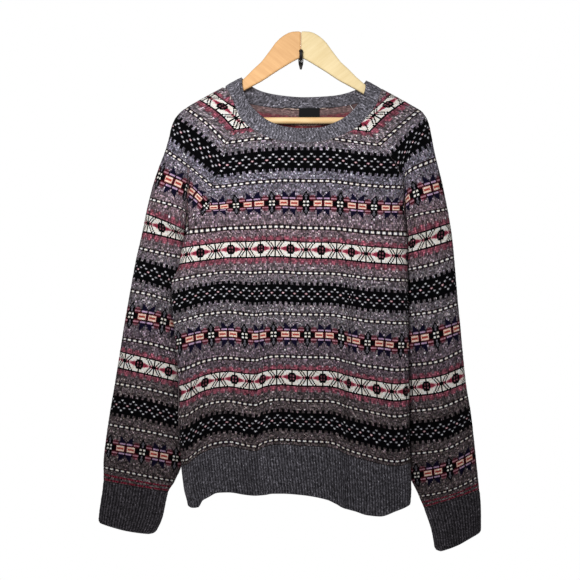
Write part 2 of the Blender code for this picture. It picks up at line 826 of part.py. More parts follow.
def make_hanger(wood):
    """Two flat wooden halves that meet in the middle, and a round bar let into both arms."""
    xs = np.concatenate([np.linspace(0, 60, 9), np.linspace(70, HANGER_TOP["x"][-1], 11)])
    top = [(x, float(smooth(x, HANGER_TOP["x"], HANGER_TOP["up"]))) for x in xs]
    under = [(x, float(smooth(x, HANGER_UNDER["x"], HANGER_UNDER["up"]))) for x in xs]
    tip = [(204.6, -98.5), (205.4, -104.0), (204.4, -109.8)]
    arm = top + tip + under[::-1]
    arm = [(max(x, HANGER_JOINT / 2), up) for x, up in arm]
    bar_hole = bar_cylinder("bar_hole", BAR_RADIUS + BAR_CLEAR, BAR_REACH + BAR_CLEAR)
    CUTTERS.objects.link(bar_hole)
    bar_hole.hide_render = True
    bar_hole.display_type = "WIRE"
    for name, side in (("hanger_half_left", -1), ("hanger_half_right", 1)):
        mesh = outline_mesh(name, [(side * x, up) for x, up in arm][::side], HANGER_THICK)
        half = place_object(name, mesh, wood)
        half.location.y = HANGER_Y * MM
        edges = half.modifiers.new("rounded_edges", "BEVEL")
        edges.width = HANGER_BEVEL * MM
        edges.segments = 2
        edges.limit_method = "ANGLE"
        edges.angle_limit = math.radians(60)
        hole = half.modifiers.new("bar_hole", "BOOLEAN")
        hole.operation = "DIFFERENCE"
        hole.object = bar_hole
    bar = bar_cylinder("trouser_bar", BAR_RADIUS, BAR_REACH)
    PARTS.objects.link(bar)
    bar.data.materials.append(wood)


def bar_cylinder(name, radius, reach):
    """A cylinder along X through the hanger's arms."""
    mesh = bpy.data.meshes.new(name)
    build = bmesh.new()
    bmesh.ops.create_cone(
        build, cap_ends=True, segments=20, radius1=radius * MM, radius2=radius * MM, depth=2 * reach * MM
    )
    build.to_mesh(mesh)
    build.free()
    ob = bpy.data.objects.new(name, mesh)
    ob.rotation_euler = (0, math.pi / 2, 0)
    ob.location = (0, HANGER_Y * MM, -BAR_DOWN * MM)
    return ob


def make_hook(iron):
    """A narrow plate on the wall, an arm under the hanger's middle, and a tip turned up in front of the wood."""
    plate = [(-4, 11), (4, 11), (4.6, 4), (4, -3), (1.6, -12), (-1.6, -12), (-4, -3), (-4.6, 4)]
    mesh = outline_mesh("wall_hook", plate[::-1], HOOK_PLATE)
    hook = place_object("wall_hook", mesh, iron)
    hook.location.y = -HOOK_PLATE / 2 * MM

    bend = 7.0
    corner = (HOOK_REACH - bend, HOOK_ARM_UP + bend)
    turn = np.linspace(-math.pi / 2, 0, 6)
    line = [(1.0, HOOK_ARM_UP), (25.0, HOOK_ARM_UP)]
    line += [(corner[0] + bend * math.cos(a), corner[1] + bend * math.sin(a)) for a in turn]
    line += [(HOOK_REACH, HOOK_TIP_UP - 0.5)]
    curve = bpy.data.curves.new("hook_arm", "CURVE")
    curve.dimensions = "3D"
    curve.bevel_depth = HOOK_RADIUS * MM
    curve.bevel_resolution = 3
    curve.use_fill_caps = True
    spline = curve.splines.new("POLY")
    spline.points.add(len(line) - 1)
    for point, (out, up) in zip(spline.points, line):
        point.co = (0, -out * MM, up * MM, 1)
    arm_curve = bpy.data.objects.new("hook_arm_curve", curve)
    PARTS.objects.link(arm_curve)
    arm = bpy.data.objects.new("hook_arm", curve_to_mesh(arm_curve, "hook_arm"))

    knob_mesh = bpy.data.meshes.new("hook_knob")
    build = bmesh.new()
    bmesh.ops.create_uvsphere(build, u_segments=16, v_segments=10, radius=HOOK_KNOB * MM)
    build.to_mesh(knob_mesh)
    build.free()
    knob = bpy.data.objects.new("hook_knob", knob_mesh)
    knob.location = (0, -HOOK_REACH * MM, HOOK_TIP_UP * MM)
    for piece in (arm, knob):
        CUTTERS.objects.link(piece)
        piece.hide_render = True
        piece.display_type = "WIRE"
        join = hook.modifiers.new("join_" + piece.name, "BOOLEAN")
        join.operation = "UNION"
        join.object = piece


for old in list(bpy.data.objects):
    bpy.data.objects.remove(old)
PARTS = bpy.data.collections.new("fair_isle_jumper")
CUTTERS = bpy.data.collections.new("cutters")
for collection in (PARTS, CUTTERS):
    bpy.context.scene.collection.children.link(collection)

stranded_knit = paint("stranded_knit", (0.36, 0.34, 0.35), 0.9)
ribbed_knit = paint("ribbed_knit", (0.33, 0.33, 0.35), 0.9)
label_tape = paint("label_tape", (0.06, 0.06, 0.07), 0.6)
pale_wood = paint("pale_wood", (0.93, 0.74, 0.52), 0.5)
black_iron = paint("black_iron", (0.05, 0.04, 0.04), 0.5)

make_panels(stranded_knit)
make_sleeves(stranded_knit)
make_hem_ribs(ribbed_knit)
make_cuffs(ribbed_knit)
make_neckband(ribbed_knit)
make_label(label_tape)
make_hanger(pale_wood)
make_hook(black_iron)
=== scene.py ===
# %% [markdown]
# # A fair isle jumper on a wooden hanger
#
# This notebook dresses a finished CAD model. The CAD already holds the garment as plain walls: front,
# back, two raglan sleeves, hem, cuffs and neckband, with a flat hanger and a wall hook. Here each wall
# becomes knitting, with every stitch in its place, and the wood, the iron and the label get their finish.
# Nothing from the CAD is moved.

# %% Load the frame
import math

import bmesh
import bpy
import numpy as np
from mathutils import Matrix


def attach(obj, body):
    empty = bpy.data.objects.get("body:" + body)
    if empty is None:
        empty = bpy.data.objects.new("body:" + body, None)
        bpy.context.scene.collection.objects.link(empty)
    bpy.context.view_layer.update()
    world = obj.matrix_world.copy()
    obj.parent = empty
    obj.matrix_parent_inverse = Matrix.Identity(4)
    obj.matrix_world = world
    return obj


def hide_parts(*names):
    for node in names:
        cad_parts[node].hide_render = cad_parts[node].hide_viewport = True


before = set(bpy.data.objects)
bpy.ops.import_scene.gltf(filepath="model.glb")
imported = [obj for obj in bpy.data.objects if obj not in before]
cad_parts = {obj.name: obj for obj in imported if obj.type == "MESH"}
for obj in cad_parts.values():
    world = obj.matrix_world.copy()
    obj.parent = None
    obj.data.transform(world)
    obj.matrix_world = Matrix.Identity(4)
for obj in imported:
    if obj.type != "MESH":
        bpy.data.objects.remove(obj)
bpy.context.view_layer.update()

MM = 0.001
SIDES = {-1: "left", 1: "right"}
SHEETS = {-1: "front", 1: "back"}
chance = np.random.default_rng(1906)

# %% [markdown]
# ## Reading a pattern
#
# A knitter works from short tables, and so do we. Each table is written out as text with a name over every
# column. Between its rows we need values that run smoothly and never overshoot, or the cloth would ripple
# where the pattern says it is flat. "down" is always the distance below the wall fixing, in millimetres. A
# side is -1 for left and 1 for right, a sheet -1 for the front and 1 for the back.

# %% Tables and the curves between their rows
def columns(text):
    names, *rows = [line.split() for line in text.strip().splitlines()]
    return {name: np.array([float(row[i]) for row in rows]) for i, name in enumerate(names)}


def smooth(at, xs, ys):
    """ys over rising xs, joined by a curve that doesn't overshoot."""
    at = np.clip(at, xs[0], xs[-1])
    step = np.diff(xs)
    rise = np.diff(ys) / step
    before, after = rise[:-1], rise[1:]
    same_way = before * after > 0
    total = np.where(same_way, before + after, 1.0)
    inner = np.where(same_way, 2 * before * after / total, 0.0)
    slope = np.concatenate([rise[:1], inner, rise[-1:]])
    k = np.clip(np.searchsorted(xs, at, side="right") - 1, 0, len(xs) - 2)
    t = (at - xs[k]) / step[k]
    start = ys[k] * (1 + 2 * t) + slope[k] * step[k] * t
    end = ys[k + 1] * (3 - 2 * t) + slope[k + 1] * step[k] * (t - 1)
    return start * (1 - t) ** 2 + end * t * t


def read(table, name, at):
    """A column of a table, read between the rows of its first column."""
    return smooth(at, next(iter(table.values())), table[name])


def ease(t):
    t = np.clip(t, 0, 1)
    return t * t * (3 - 2 * t)


def spread(count=420):
    """Shares from 0 to 1, close together at both ends, where the cloth turns."""
    return (1 - np.cos(np.linspace(0, math.pi, count))) / 2

# %% [markdown]
# ## How the jumper hangs
#
# On a flat hanger a jumper is two sheets of cloth that meet along its outline. The ridge table gives the
# outline over the hanger's arms, the outer table the sleeves' outer edges below it. The depth table says
# how far each sheet stands in front of or behind the middle, and the crease table where the body folds in
# towards the sleeves.

# %% The outline and the depth of the two sheets
RIDGE = columns("""
x      down
0     -51
21    -49
41    -35
51.6  -21
62    -7
73.5   7
90     20
104    29.6
116    36
140    49
166    63
191    77
""")
OUTER = columns("""
down  left    right
77   -189     191.5
91   -211.8   213.3
105  -222.2   222
119  -227.6   226
133  -230.4   228.7
161  -238.6   234
189  -249.4   241
217  -258.6   247.9
245  -266     253.5
273  -272.6   259
315  -281.8   266.2
343  -288.6   269
371  -294     271.5
399  -299.2   273.8
427  -304.2   276.2
455  -309.2   279.2
511  -318.1   284.4
567  -327.1   290.2
623  -336.7   299.4
665  -342.7   304.2
707  -347.2   308.6
735  -347     311.6
791  -354     316.2
825  -357.2   316.4
840  -358     316.6
""")
DEPTH = columns("""
down  middle  front  back  round
-60   -40     15     15    17
30    -40     15.8   15.8  17
90    -40     18.5   17    22
150   -40     23     20    30
284   -41     29     23    34
450   -43     31     24    34
620   -45     34     25    34
810   -47     36     26    34
""")
CREASE = columns("""
down   left    right   parted
150   -196     178     0
175   -197     178.5   0.25
196   -197     179.4   0.5
210   -197     180.3   0.65
245   -198.5   182     0.85
284   -200.5   184     1
315   -206.5   187     1
364   -215     187     1
397   -231     187.5   1
443   -230     188     1
511   -222     189     1
595   -217     189.5   1
656   -213.5   190     1
702   -210     191     1
752   -204     192.5   1
777   -198     191     1
810   -196     189.5   1
""")
CREASE_ROUND = 28.0
SLEEVE_ROUND = 24.0
ROUND_POWER = 2.2


def rounding(share, power=1 / ROUND_POWER):
    """From 0 at an edge to 1 a full rounding away from it."""
    inward = np.clip(share, 0, 1)
    return (1 - (1 - inward) ** ROUND_POWER) ** power


def outer_x(down, side):
    return read(OUTER, SIDES[side], down)


def shoulder_line(side, lowest=840.0):
    """The garment's outline from the middle over the shoulder and down the sleeve."""
    xs = np.linspace(0, RIDGE["x"][-1], 40)
    over = np.stack([side * xs, read(RIDGE, "down", xs)], -1)
    downs = np.linspace(OUTER["down"][0], lowest, 70)[1:]
    return np.concatenate([over, np.stack([outer_x(downs, side), downs], -1)])


OUTLINE = np.concatenate([shoulder_line(-1, 420.0)[:0:-1], shoulder_line(1, 420.0)])


def distance_to_outline(x, down):
    start, end = OUTLINE[:-1, None, :], OUTLINE[1:, None, :]
    point = np.stack([x, down], -1)[None]
    run = end - start
    t = np.clip(((point - start) * run).sum(-1) / (run * run).sum(-1), 0, 1)
    return np.linalg.norm(point - start - t[..., None] * run, axis=-1).min(0)


print("across the sleeves:", round(float(np.ptp(OUTLINE[:, 0]))), "mm at", round(OUTLINE[0, 1]), "mm down")

# %% [markdown]
# Soft folds run down the body, as they do on any jumper that hangs by its shoulders. Each has its place at
# chest and hem, its width, and its depth at the hem, with a ridge as a negative depth. They grow towards
# the hem. On the right the cloth steps back over one fold and stays there.

# %% Folds, and one function for every sheet
FOLDS = columns("""
chest_x  hem_x  width  depth  starts  stays
-150    -165    22     8      250     0
-72     -76     15     9      380     0
20      -10     60    -5      330     0
90       74     10     12     290     1
125      135    26    -3      400     0
""")
HEM_DOWN = 757.5


def fold_relief(x, down):
    relief = np.zeros(np.shape(x))
    for chest_x, hem_x, width, depth, starts, stays in zip(*FOLDS.values()):
        share = np.clip((down - starts) / (HEM_DOWN - starts), 0, 1)
        off = (x - chest_x - (hem_x - chest_x) * share) / width
        form = ease(off / 2 + 0.5) if stays else np.exp(-(off**2))
        relief = relief + depth * ease(1.4 * share) * form
    return relief


def sheet_y(x, down, side):
    """Depth of the garment's front (side -1) or back (side 1) sheet, for body and shoulders."""
    middle = read(DEPTH, "middle", down)
    half = read(DEPTH, SHEETS[side], down)
    rise = rounding(distance_to_outline(x, down) / read(DEPTH, "round", down))
    parted = read(CREASE, "parted", down)
    power = 1 + (1 / ROUND_POWER - 1) * parted
    for name in SIDES.values():
        off = np.abs(x - read(CREASE, name, down))
        rise = rise * (1 - parted * (1 - rounding(off / CREASE_ROUND, power)))
    depth = half * rise
    if side < 0:
        inside = (x - read(CREASE, "left", down)) / CREASE_ROUND
        inside_too = (read(CREASE, "right", down) - x) / CREASE_ROUND
        depth = depth - fold_relief(x, down) * ease(inside) * ease(inside_too)
    return middle + side * depth

# %% [markdown]
# ## Where the courses lie
#
# A course is one row of knitting right across the garment. A band of the pattern comes every eight
# courses, and we count them from the dotted course under the neck: 114 is the seam of the hem rib, 134
# that of the cuffs. The sag table bends them as the cloth hangs, with a column for each of the courses in
# its header. The raglan table says where body and sleeve courses meet.

# %% Courses of the body
UNDERARM_COURSE = 33
CREASE_AT_UNDERARM = 5
EDGE_STEPS = 6
HEM_SEAM, HEM_END = 114, 132
CUFF_SEAM, CUFF_END = 134, 154

BODY_COURSE = columns("""
course  down
-20     49
-16     66
-9      96
0       136
8       174.6
16      212.8
24      252.2
32      295.2
40      332.9
48      373.9
56      410.2
64      446.1
72      480.9
80      519.4
88      555.2
96      594.9
104     630.2
112     663.6
132     757.6
""")
SAG = columns("""
x       at_16   at_40   at_60   at_72   at_84   at_96   at_112  at_132
-229    12.2    11.4    15.5    14.2    31      30.5    38.9    13
-200    12.2    7.3     7       7.7     22.5    25.1    33.9    21
-189    13.3    5.9     3.3     4.9     17.5    18.7    26.3    23.9
-178.5  13.5    4.6     0       2.5     12.3    11.8    17.5    22.5
-171    13.2    3.6     -1.4    1.3     9.4     8.6     13.3    11.1
-163    12.6    2.6     -2.7    0.2     7       6       9.7     6.5
-145    11.9    0.5     -5.5    -2      3.1     2       4.3     -2.6
-126    9.5     -1.5    -6.7    -2.8    1.4     0.4     2       -3.5
-96     5       -1.9    -3      0.7     5       5.2     8       0.9
-79     2.8     -2.3    -1.6    1.7     5.9     7.1     10.6    2.8
-65     1.8     -3.4    -2.9    -0.5    1.4     1.4     3.5     1.4
-49     0.8     -3.7    -3.6    -2      -1.6    -2.1    -0.8    -1.5
-33     -0.6    -3.4    -3.5    -2.5    -2.4    -3      -2.1    -1.7
0       0.2     -1.1    -1.6    -1.4    -0.9    -0.4    0.2     0.5
44      1.2     -0.4    -1.3    -0.5    -0.1    0.1     2.4     8.8
61      3.3     0.3     -0.2    1.2     2.1     2.5     6       16.6
79      6       2.2     2.9     5.6     7.7     9.6     15.5    26
96      9.1     4       5.9     9.7     12      14.3    21.8    31
114     11.7    6.1     9       12.9    15.6    18      26.3    36.8
138     15      7.8     10.6    14      19.3    23.2    32.7    39
165     17.9    9.6     12.1    17.1    23.2    27.4    36.9    30.3
192     19.7    10.6    12.7    17.2    21.6    23.6    31.7    19
""")

SAG_COURSES = np.array([16.0, 40.0, 60.0, 72.0, 84.0, 96.0, 112.0, 132.0])
BACK_NECK_SAG = columns("""
course  sag
-20     21.5
-16     21.5
0       9
16      0
""")
BACK_NECK_MIDDLE, BACK_NECK_WIDTH = 10.0, 120.0
BACK_NECK_COURSE = -20.0
RAGLAN = columns("""
course  left_x  left_down  right_x  right_down
0      -131.3   145.3      134.8    148.8
8      -140     185.5      166.3    183.8
16     -154     222.3      178.5    222.3
24     -161     259        180.3    259
28     -176     271        181      274.5
""")


def body_down(x, course):
    """How far down a course of the body lies at x."""
    middle = read(BODY_COURSE, "down", course)
    sags = [read(SAG, f"at_{own:.0f}", x) for own in SAG_COURSES]
    weights = [smooth(course, SAG_COURSES, row) for row in np.eye(len(SAG_COURSES))]
    return middle + sum(w * s for w, s in zip(weights, sags))


def body_edges(course):
    """Where a course below the underarm meets the body's left and right edges, as x and down."""
    ends = np.array([CREASE[name][CREASE_AT_UNDERARM] for name in SIDES.values()])
    for _ in range(EDGE_STEPS):
        downs = body_down(ends, course)
        ends = np.array([read(CREASE, name, down) for name, down in zip(SIDES.values(), downs)])
    return np.stack([ends, body_down(ends, course)], -1)


UNDERARM = body_edges(UNDERARM_COURSE)
print("underarms, x and down:", UNDERARM.round().tolist())

# %% [markdown]
# The neckband is described station by station, clockwise from the left shoulder: where it is sewn on and
# where its free edge lies. The raglan seams run on up to it from course 0, nine courses in front and
# fifteen and a half behind.

# %% The neck and the raglan seams
NECK = columns("""
outer_x   outer_down  inner_x  inner_down
-132      44.6        -104     29.6
-125      57          -102.4   46
-117      75          -98      61
-107.6    98          -90      77
-91       117         -76      92
-68       131         -58      106
-37       141.5       -30      116.5
0         145         0        120
37        142.5       33       118.5
68        133         59.5     109.5
94.5      120         81.4     97
114.6     100.5       98       79
129.5     81          108.5    62
138       59.5        113      46.5
141       50.5        114      35
124       63          105      45
100       72          85.8     54
59.5      79.5        56       60.5
5         81.5        5        63
-45.5     80          -43.8    58.5
-87.5     73.5        -73.5    51
-113.7    62          -92      40
""")
STATIONS = len(NECK["outer_x"])
RIDGE_STATIONS = (0.0, 14.0)
RAGLAN_TOPS = {-1: (3.35, 10.6), 1: (20.1, 16.4)}
TOP_COURSE = {-1: -9.0, 1: -15.5}


def neck_edge(station, which="outer"):
    """A point of the neckband's outer or inner edge as x and down."""
    wrapped = np.arange(-3, STATIONS + 3)
    values = [NECK[f"{which}_{axis}"][wrapped % STATIONS] for axis in ("x", "down")]
    return np.stack([smooth(np.mod(station, STATIONS), wrapped.astype(float), v) for v in values], -1)


def raglan(side, course, sheet):
    """Where a course meets the raglan seam of the front (-1) or back (1)."""
    which = 0 if side < 0 else 1
    name = SIDES[side]
    top = neck_edge(RAGLAN_TOPS[sheet][which])
    courses = np.concatenate([[TOP_COURSE[sheet]], RAGLAN["course"], [UNDERARM_COURSE]])
    xs = np.concatenate([[top[0]], RAGLAN[name + "_x"], [UNDERARM[which][0]]])
    downs = np.concatenate([[top[1]], RAGLAN[name + "_down"], [UNDERARM[which][1]]])
    if course < TOP_COURSE[sheet]:
        shares = (course - TOP_COURSE[sheet]) / (TOP_COURSE[1] - TOP_COURSE[sheet])
        station = RAGLAN_TOPS[sheet][which] + (RIDGE_STATIONS[which] - RAGLAN_TOPS[sheet][which]) * shares
        return neck_edge(station)
    if course < 0:
        return np.array([np.interp(course, courses, xs), np.interp(course, courses, downs)])
    return np.array([smooth(course, courses[1:], xs[1:]), smooth(course, courses[1:], downs[1:])])


NECK_LINE = {
    -1: neck_edge(np.linspace(RIDGE_STATIONS[0], RIDGE_STATIONS[1], 300)),
    1: neck_edge(np.linspace(STATIONS, RIDGE_STATIONS[1], 300)),
}


def hold_below_neck(x, down, sheet):
    """Keeps a course's points at or below the neck seam. Also says which of them lie on it."""
    line = NECK_LINE[sheet]
    limit = np.interp(x, line[:, 0], line[:, 1], left=-1e3, right=-1e3)
    return np.maximum(down, limit), down < limit + 0.01

# %% [markdown]
# Now a course can be laid out in space: across the body from edge to edge, or round a sleeve from its
# front seam over the outer edge to its back seam. Below the underarm the sleeves are flat tubes of their
# own that part from the body.

# %% Courses laid out in space
SLEEVE_LEFT = columns("""
course  outer_down  mid_x    mid_down  inner_x  inner_down
-15     47.6       -129.5    50.8     -126.9    54.3
-12     54.3       -129.5    70       -113.8    84.9
-8      62.3       -132.1    84.9     -103.6    108.5
0       83.5       -164.5    111.5    -131.3    145.3
8       113.8      -176.2    153.7    -140      185.5
16      157.5      -197      185.5    -154      222.3
24      199.5   -195      226     -161     259
28      222     -197.5    250     -176     271
33      247        -199.5    273      -198.6    287
40      283     -238      294     -205     305
48      328        -246      337      -213      345
56      363        -256      374      -223      386
64      403     -265      410.5   -231     422
72      444.5   -268      450.5   -230     461
80      487     -268      495.5   -224     509.5
88      523        -270      536      -221      549
96      565.5   -273      575     -218     590
104     601     -274      611     -215.5   628
112     637.5   -275      649     -213.5   664
120     675     -278      686     -212     700
128     713        -284      725.5    -222      738
134     738        -290      748      -234      758
144     780         -298      793       -245     805
154     814.5       -305      825.5     -258     832
""")
SLEEVE_RIGHT = columns("""
course  outer_down  mid_x    mid_down  inner_x  inner_down
-15     49.5        140.5    52.3      139.1    55.1
-12     56          139      72.6      124.3    89.3
-8      64.8        138.3    87.5      105      112
0       86.6        171.3    117.1     134.8    148.8
8       119.9       194.3    144.4     166.3    183.8
16      172.4       181      203       178.5    222.3
24      217         183      245       180.3    259
28      239         184      266       182      274.5
33      265         185      284       183.8    290
40      299     226       311.5   190      322
48      343.5   228       358     188      367
56      384     230       399     188      406
64      426     231       440.5   189      446.5
72      467     234       481.5   190      490
80      507     236       528.5   191      534.5
88      551     238       568     191      574.5
96      588     241       609     191      615.5
104     623.5       244      647       191.5    652.5
112     655.5       247      683.5     193      690.5
120     691         250      717.5     198      729
128     730     260       754     208      765
134     754         264      770       217      786
144     796         272      812       231      828
154     832         276      850       237      862.5
""")
SLEEVE_DEPTH = columns("""
course  seam_y  outer_y  half  tuck
33      -40     -39      25    0
37      -34     -35      22    0
42      -23     -31      20    3.5
48      -20.5   -28      18.5  5
60      -20     -27      18    5
90      -20     -27      18    5
118     -20     -27      17    5
128     -21     -27      16    0
154     -23     -26      14    0
""")
TUBE_COURSES = (33, 42)
CREASE_GAP = 0.9
TUCK_ENDS, TUCK_FADES = 116, 12
NECK_REACHES = 4
CUFF_CORNER = 9.0
CUFF_CORNER_COURSE = 151.3


def corner_inset(course):
    """How far the round corners of a cuff draw in at this course."""
    share = np.clip((course - CUFF_CORNER_COURSE) / (CUFF_END - CUFF_CORNER_COURSE), 0, 1)
    return CUFF_CORNER * (1 - math.sqrt(1 - share**2))


def body_line(course, sheet):
    """A course of the front (-1) or back (1) in space, and which of its points lie on the neck seam."""
    if course < UNDERARM_COURSE:
        left, right = (raglan(side, max(course, TOP_COURSE[sheet]), sheet) for side in (-1, 1))
    else:
        left, right = body_edges(course)
    t = spread()
    x = left[0] + (right[0] - left[0]) * t
    down = body_down(x, course)
    if sheet > 0 and course < BACK_NECK_SAG["course"][-1]:
        sag = read(BACK_NECK_SAG, "sag", course)
        down = down + sag * np.exp(-(((x - BACK_NECK_MIDDLE) / BACK_NECK_WIDTH) ** 2))
    down = down + (left[1] - down[0]) * (1 - t) ** 3 + (right[1] - down[-1]) * t**3
    on_neck = np.zeros(len(x), bool)
    if course < NECK_REACHES:
        down, on_neck = hold_below_neck(x, down, sheet)
    y = sheet_y(x, down, sheet)
    if course >= UNDERARM_COURSE:
        y[0], y[-1] = read(DEPTH, "middle", down[[0, -1]])
    return np.stack([x, y, -down], -1), on_neck


def sleeve_half(side, course, sheet):
    """Half a course of a sleeve in space, from its seam to its outer edge."""
    table = SLEEVE_LEFT if side < 0 else SLEEVE_RIGHT
    at = {name: smooth(course, table["course"], values) for name, values in table.items()}
    inner = np.array([at["inner_x"], at["inner_down"]])
    if course <= UNDERARM_COURSE:
        inner = raglan(side, course, sheet)
    else:
        tuck = read(SLEEVE_DEPTH, "tuck", course)
        free = ease((course - TUCK_ENDS) / TUCK_FADES)
        edge = read(CREASE, SIDES[side], inner[1])
        inner[0] = (edge + side * (CREASE_GAP - tuck)) * (1 - free) + inner[0] * free
    fall = shoulder_line(side)
    outer = np.array([np.interp(at["outer_down"], fall[:, 1], fall[:, 0]), at["outer_down"]])
    inner[0] += side * corner_inset(course)
    outer[0] -= side * corner_inset(course)
    middle_point = np.array([at["mid_x"], at["mid_down"]])
    halfway = ease((course - TUBE_COURSES[0]) / (TUBE_COURSES[1] - TUBE_COURSES[0]))
    middle_point[0] += halfway * ((inner[0] + outer[0]) / 2 - middle_point[0])
    t = spread()
    lengths = [np.linalg.norm(middle_point - inner), np.linalg.norm(outer - middle_point)]
    knots = np.array([0.0, lengths[0] / sum(lengths), 1.0])
    x, down = (smooth(t, knots, np.array([inner[i], middle_point[i], outer[i]])) for i in (0, 1))
    on_neck = np.zeros(len(x), bool)
    if course < 0:
        down, on_neck = hold_below_neck(x, down, sheet)
    y = sleeve_y(x, down, course, sheet, t, sum(lengths))
    return np.stack([x, y, -down], -1), on_neck


def sleeve_y(x, down, course, sheet, t, width):
    """Depth of a sleeve: the body's sheet at the shoulder, its own flat tube below the underarm."""
    on_sheet = sheet_y(x, down, sheet)
    on_sheet[-1] = read(DEPTH, "middle", down[-1])
    tube = ease((course - TUBE_COURSES[0]) / (TUBE_COURSES[1] - TUBE_COURSES[0]))
    if course >= UNDERARM_COURSE:
        on_sheet[0] = read(DEPTH, "middle", down[0])
    if tube == 0:
        return on_sheet
    seam_y, outer_y, half = (
        read(SLEEVE_DEPTH, name, course) for name in ("seam_y", "outer_y", "half")
    )
    middle = seam_y + (outer_y - seam_y) * ease(2 * t)
    swell = rounding(t * width / SLEEVE_ROUND) * rounding((1 - t) * width / SLEEVE_ROUND)
    return on_sheet * (1 - tube) + (middle + sheet * half * swell) * tube


def sleeve_line(course, side):
    """A course of a sleeve in space, from the front seam over the outer edge to the back seam."""
    front, back = (sleeve_half(side, course, sheet) for sheet in (-1, 1))
    return tuple(np.concatenate([front[i], back[i][::-1][1:]]) for i in (0, 1))

# %% [markdown]
# ## The yarns
#
# The jumper is wool in a fine gauge. Hex colours are what a colour picker shows, in sRGB, and Blender
# works in linear light, so one function turns them over. Each yarn has a one-letter name, for the charts.

# %% Yarn colours
def linear(hex_colour):
    parts = [int(hex_colour[i : i + 2], 16) / 255 for i in (1, 3, 5)]
    return np.array([c / 12.92 if c <= 0.04045 else ((c + 0.055) / 1.055) ** 2.4 for c in parts])


YARN = {
    "K": linear("#040406"),  # black
    "N": linear("#100D24"),  # navy
    "m": linear("#16060A"),  # near black maroon
    "M": linear("#4A1019"),  # maroon
    "R": linear("#8E3044"),  # crimson
    "C": linear("#8A4C5A"),  # dusty rose
    "Q": linear("#AE7A88"),  # old rose
    "q": linear("#6E434E"),  # dark pink
    "r": linear("#A83C34"),  # brick
    "s": linear("#FFCEBE"),  # pale salmon
    "P": linear("#D9909C"),  # pink
    "p": linear("#EBC6CC"),  # pale pink
    "c": linear("#FFF4EA"),  # cream
    "b": linear("#2A1914"),  # brown
    "n": linear("#5C4D46"),  # brown-grey
    "l": linear("#B596B6"),  # lilac
    "v": linear("#94828F"),  # mauve
    "g": linear("#77707E"),  # grey-purple
    "e": linear("#5C5A62"),  # slate
    "d": linear("#B4B3BA"),  # light grey
    "D": linear("#DAD9DE"),  # silver
    "o": linear("#8A8270"),  # olive-grey
}
print(len(YARN), "yarns")

# %% [markdown]
# ## The charts
#
# Every band is mirrored left to right and top to bottom, so a chart needs only a quarter of its motif,
# from the middle outwards. Each line gives the height of a row, counted in courses, and then one letter
# for each leg of its stitches. A stitch has two legs. A dot is the ground yarn, which changes slowly down
# the garment and grows darker towards the hem, partly as painted shade.

# %% Charts of the bands
def chart(text):
    rows = [line.split() for line in text.strip().splitlines()]
    return [(float(height), legs) for height, legs in rows]


CHARTS = {
    "dots": chart("""
0.36  ccgK
0.32  bbbK
"""),
    "lattice": chart("""
0.28  pqKKKKKK
0.44  KKKKKKKK
0.56  KKeddeKK
0.4   KKKKKKKK
0.56  KKKKKKeD
1.11  KKKKKKKK
1.15  KK....KK
"""),
    "bars": chart("""
0.32  KKKKKKKKKmMsrrrrrrrrrsMM
0.65  KcccKKKKKmMsssssssssssMM
0.5   KKKKKmMMMMMMMMMMMMmmmmmm
0.6   gKKKmQQQQQQQQmmllllllllm
0.4   eKKKmMMMMMMMMmNNNNNNNNmm
0.55  eeKKm.qqqqqq...NNNNNNNN.
0.55  eKK............NNNNNN...
0.5   KK.............NNNN.....
0.35  K..............NN.......
"""),
    "stars": chart("""
0.25  KKKKKKRRRRRRRPPMMMMKKK
0.35  KqqKKKRRRRRPPPcKKPPKKK
0.35  KqqKKKPPPcccccKKccKKcK
0.35  KKKKKccccccccKKccKKccK
0.4   KKKKccccccccKKccKKcccK
0.45  KccccccccccKKccKKccccK
0.45  KccccccccKKccKKccccccK
0.5   KKKKKKKKKKKKKKKKKKKKKK
0.5   qqCCCCCCqKqqqCCCCCCCqq
0.6   qqqCCCCCCqqqqqCCCCCCqq
0.7   ..qqCCCqq....qqCCCqq..
"""),
    "line": chart("""
0.4   RMRRqM
"""),
}
for name, rows in CHARTS.items():
    print(name, "repeats over", len(rows[0][1]), "stitches")

# %% [markdown]
# The bands follow each other every eight courses. The centres table says on which leg each one is centred,
# counted from the middle wale of the body, or from the outer edge of a sleeve. The gauge table gives the
# real width of two stitches. A knitter's gauge is never quite even: the shoulders are worked a little
# looser.

# %% Bands, gauge and ground
BAND_ORDER = ["stars", "dots", "lattice", "dots", "bars", "dots"]
CENTRES = columns("""
course  body  left  right
-8      -13   13    21
8       5     9     11
16      3     5     5
24      7     33    43
40      -15   7     17
56      7     3     3
72      9     33    3
88      -13   5     21
104     7     1     1
120     9     35    47
""")
DOTS_CENTRE = 5


def bands_of(piece, last):
    """Every band down to a last course: its middle course, its chart and the leg it is centred on."""
    own = dict(zip(CENTRES["course"], CENTRES[piece]))
    courses = range(-16, last + 1, 8)
    names = [BAND_ORDER[(course + 8) // 8 % len(BAND_ORDER)] for course in courses]
    return [(course, name, int(own.get(course, DOTS_CENTRE))) for course, name in zip(courses, names)]


BODY_BANDS = bands_of("body", 112)
CUFF_LINES = [(131, "line", 1), (133, "line", 0)]
SLEEVE_BANDS = {side: bands_of(name, 128) + CUFF_LINES for side, name in SIDES.items()}

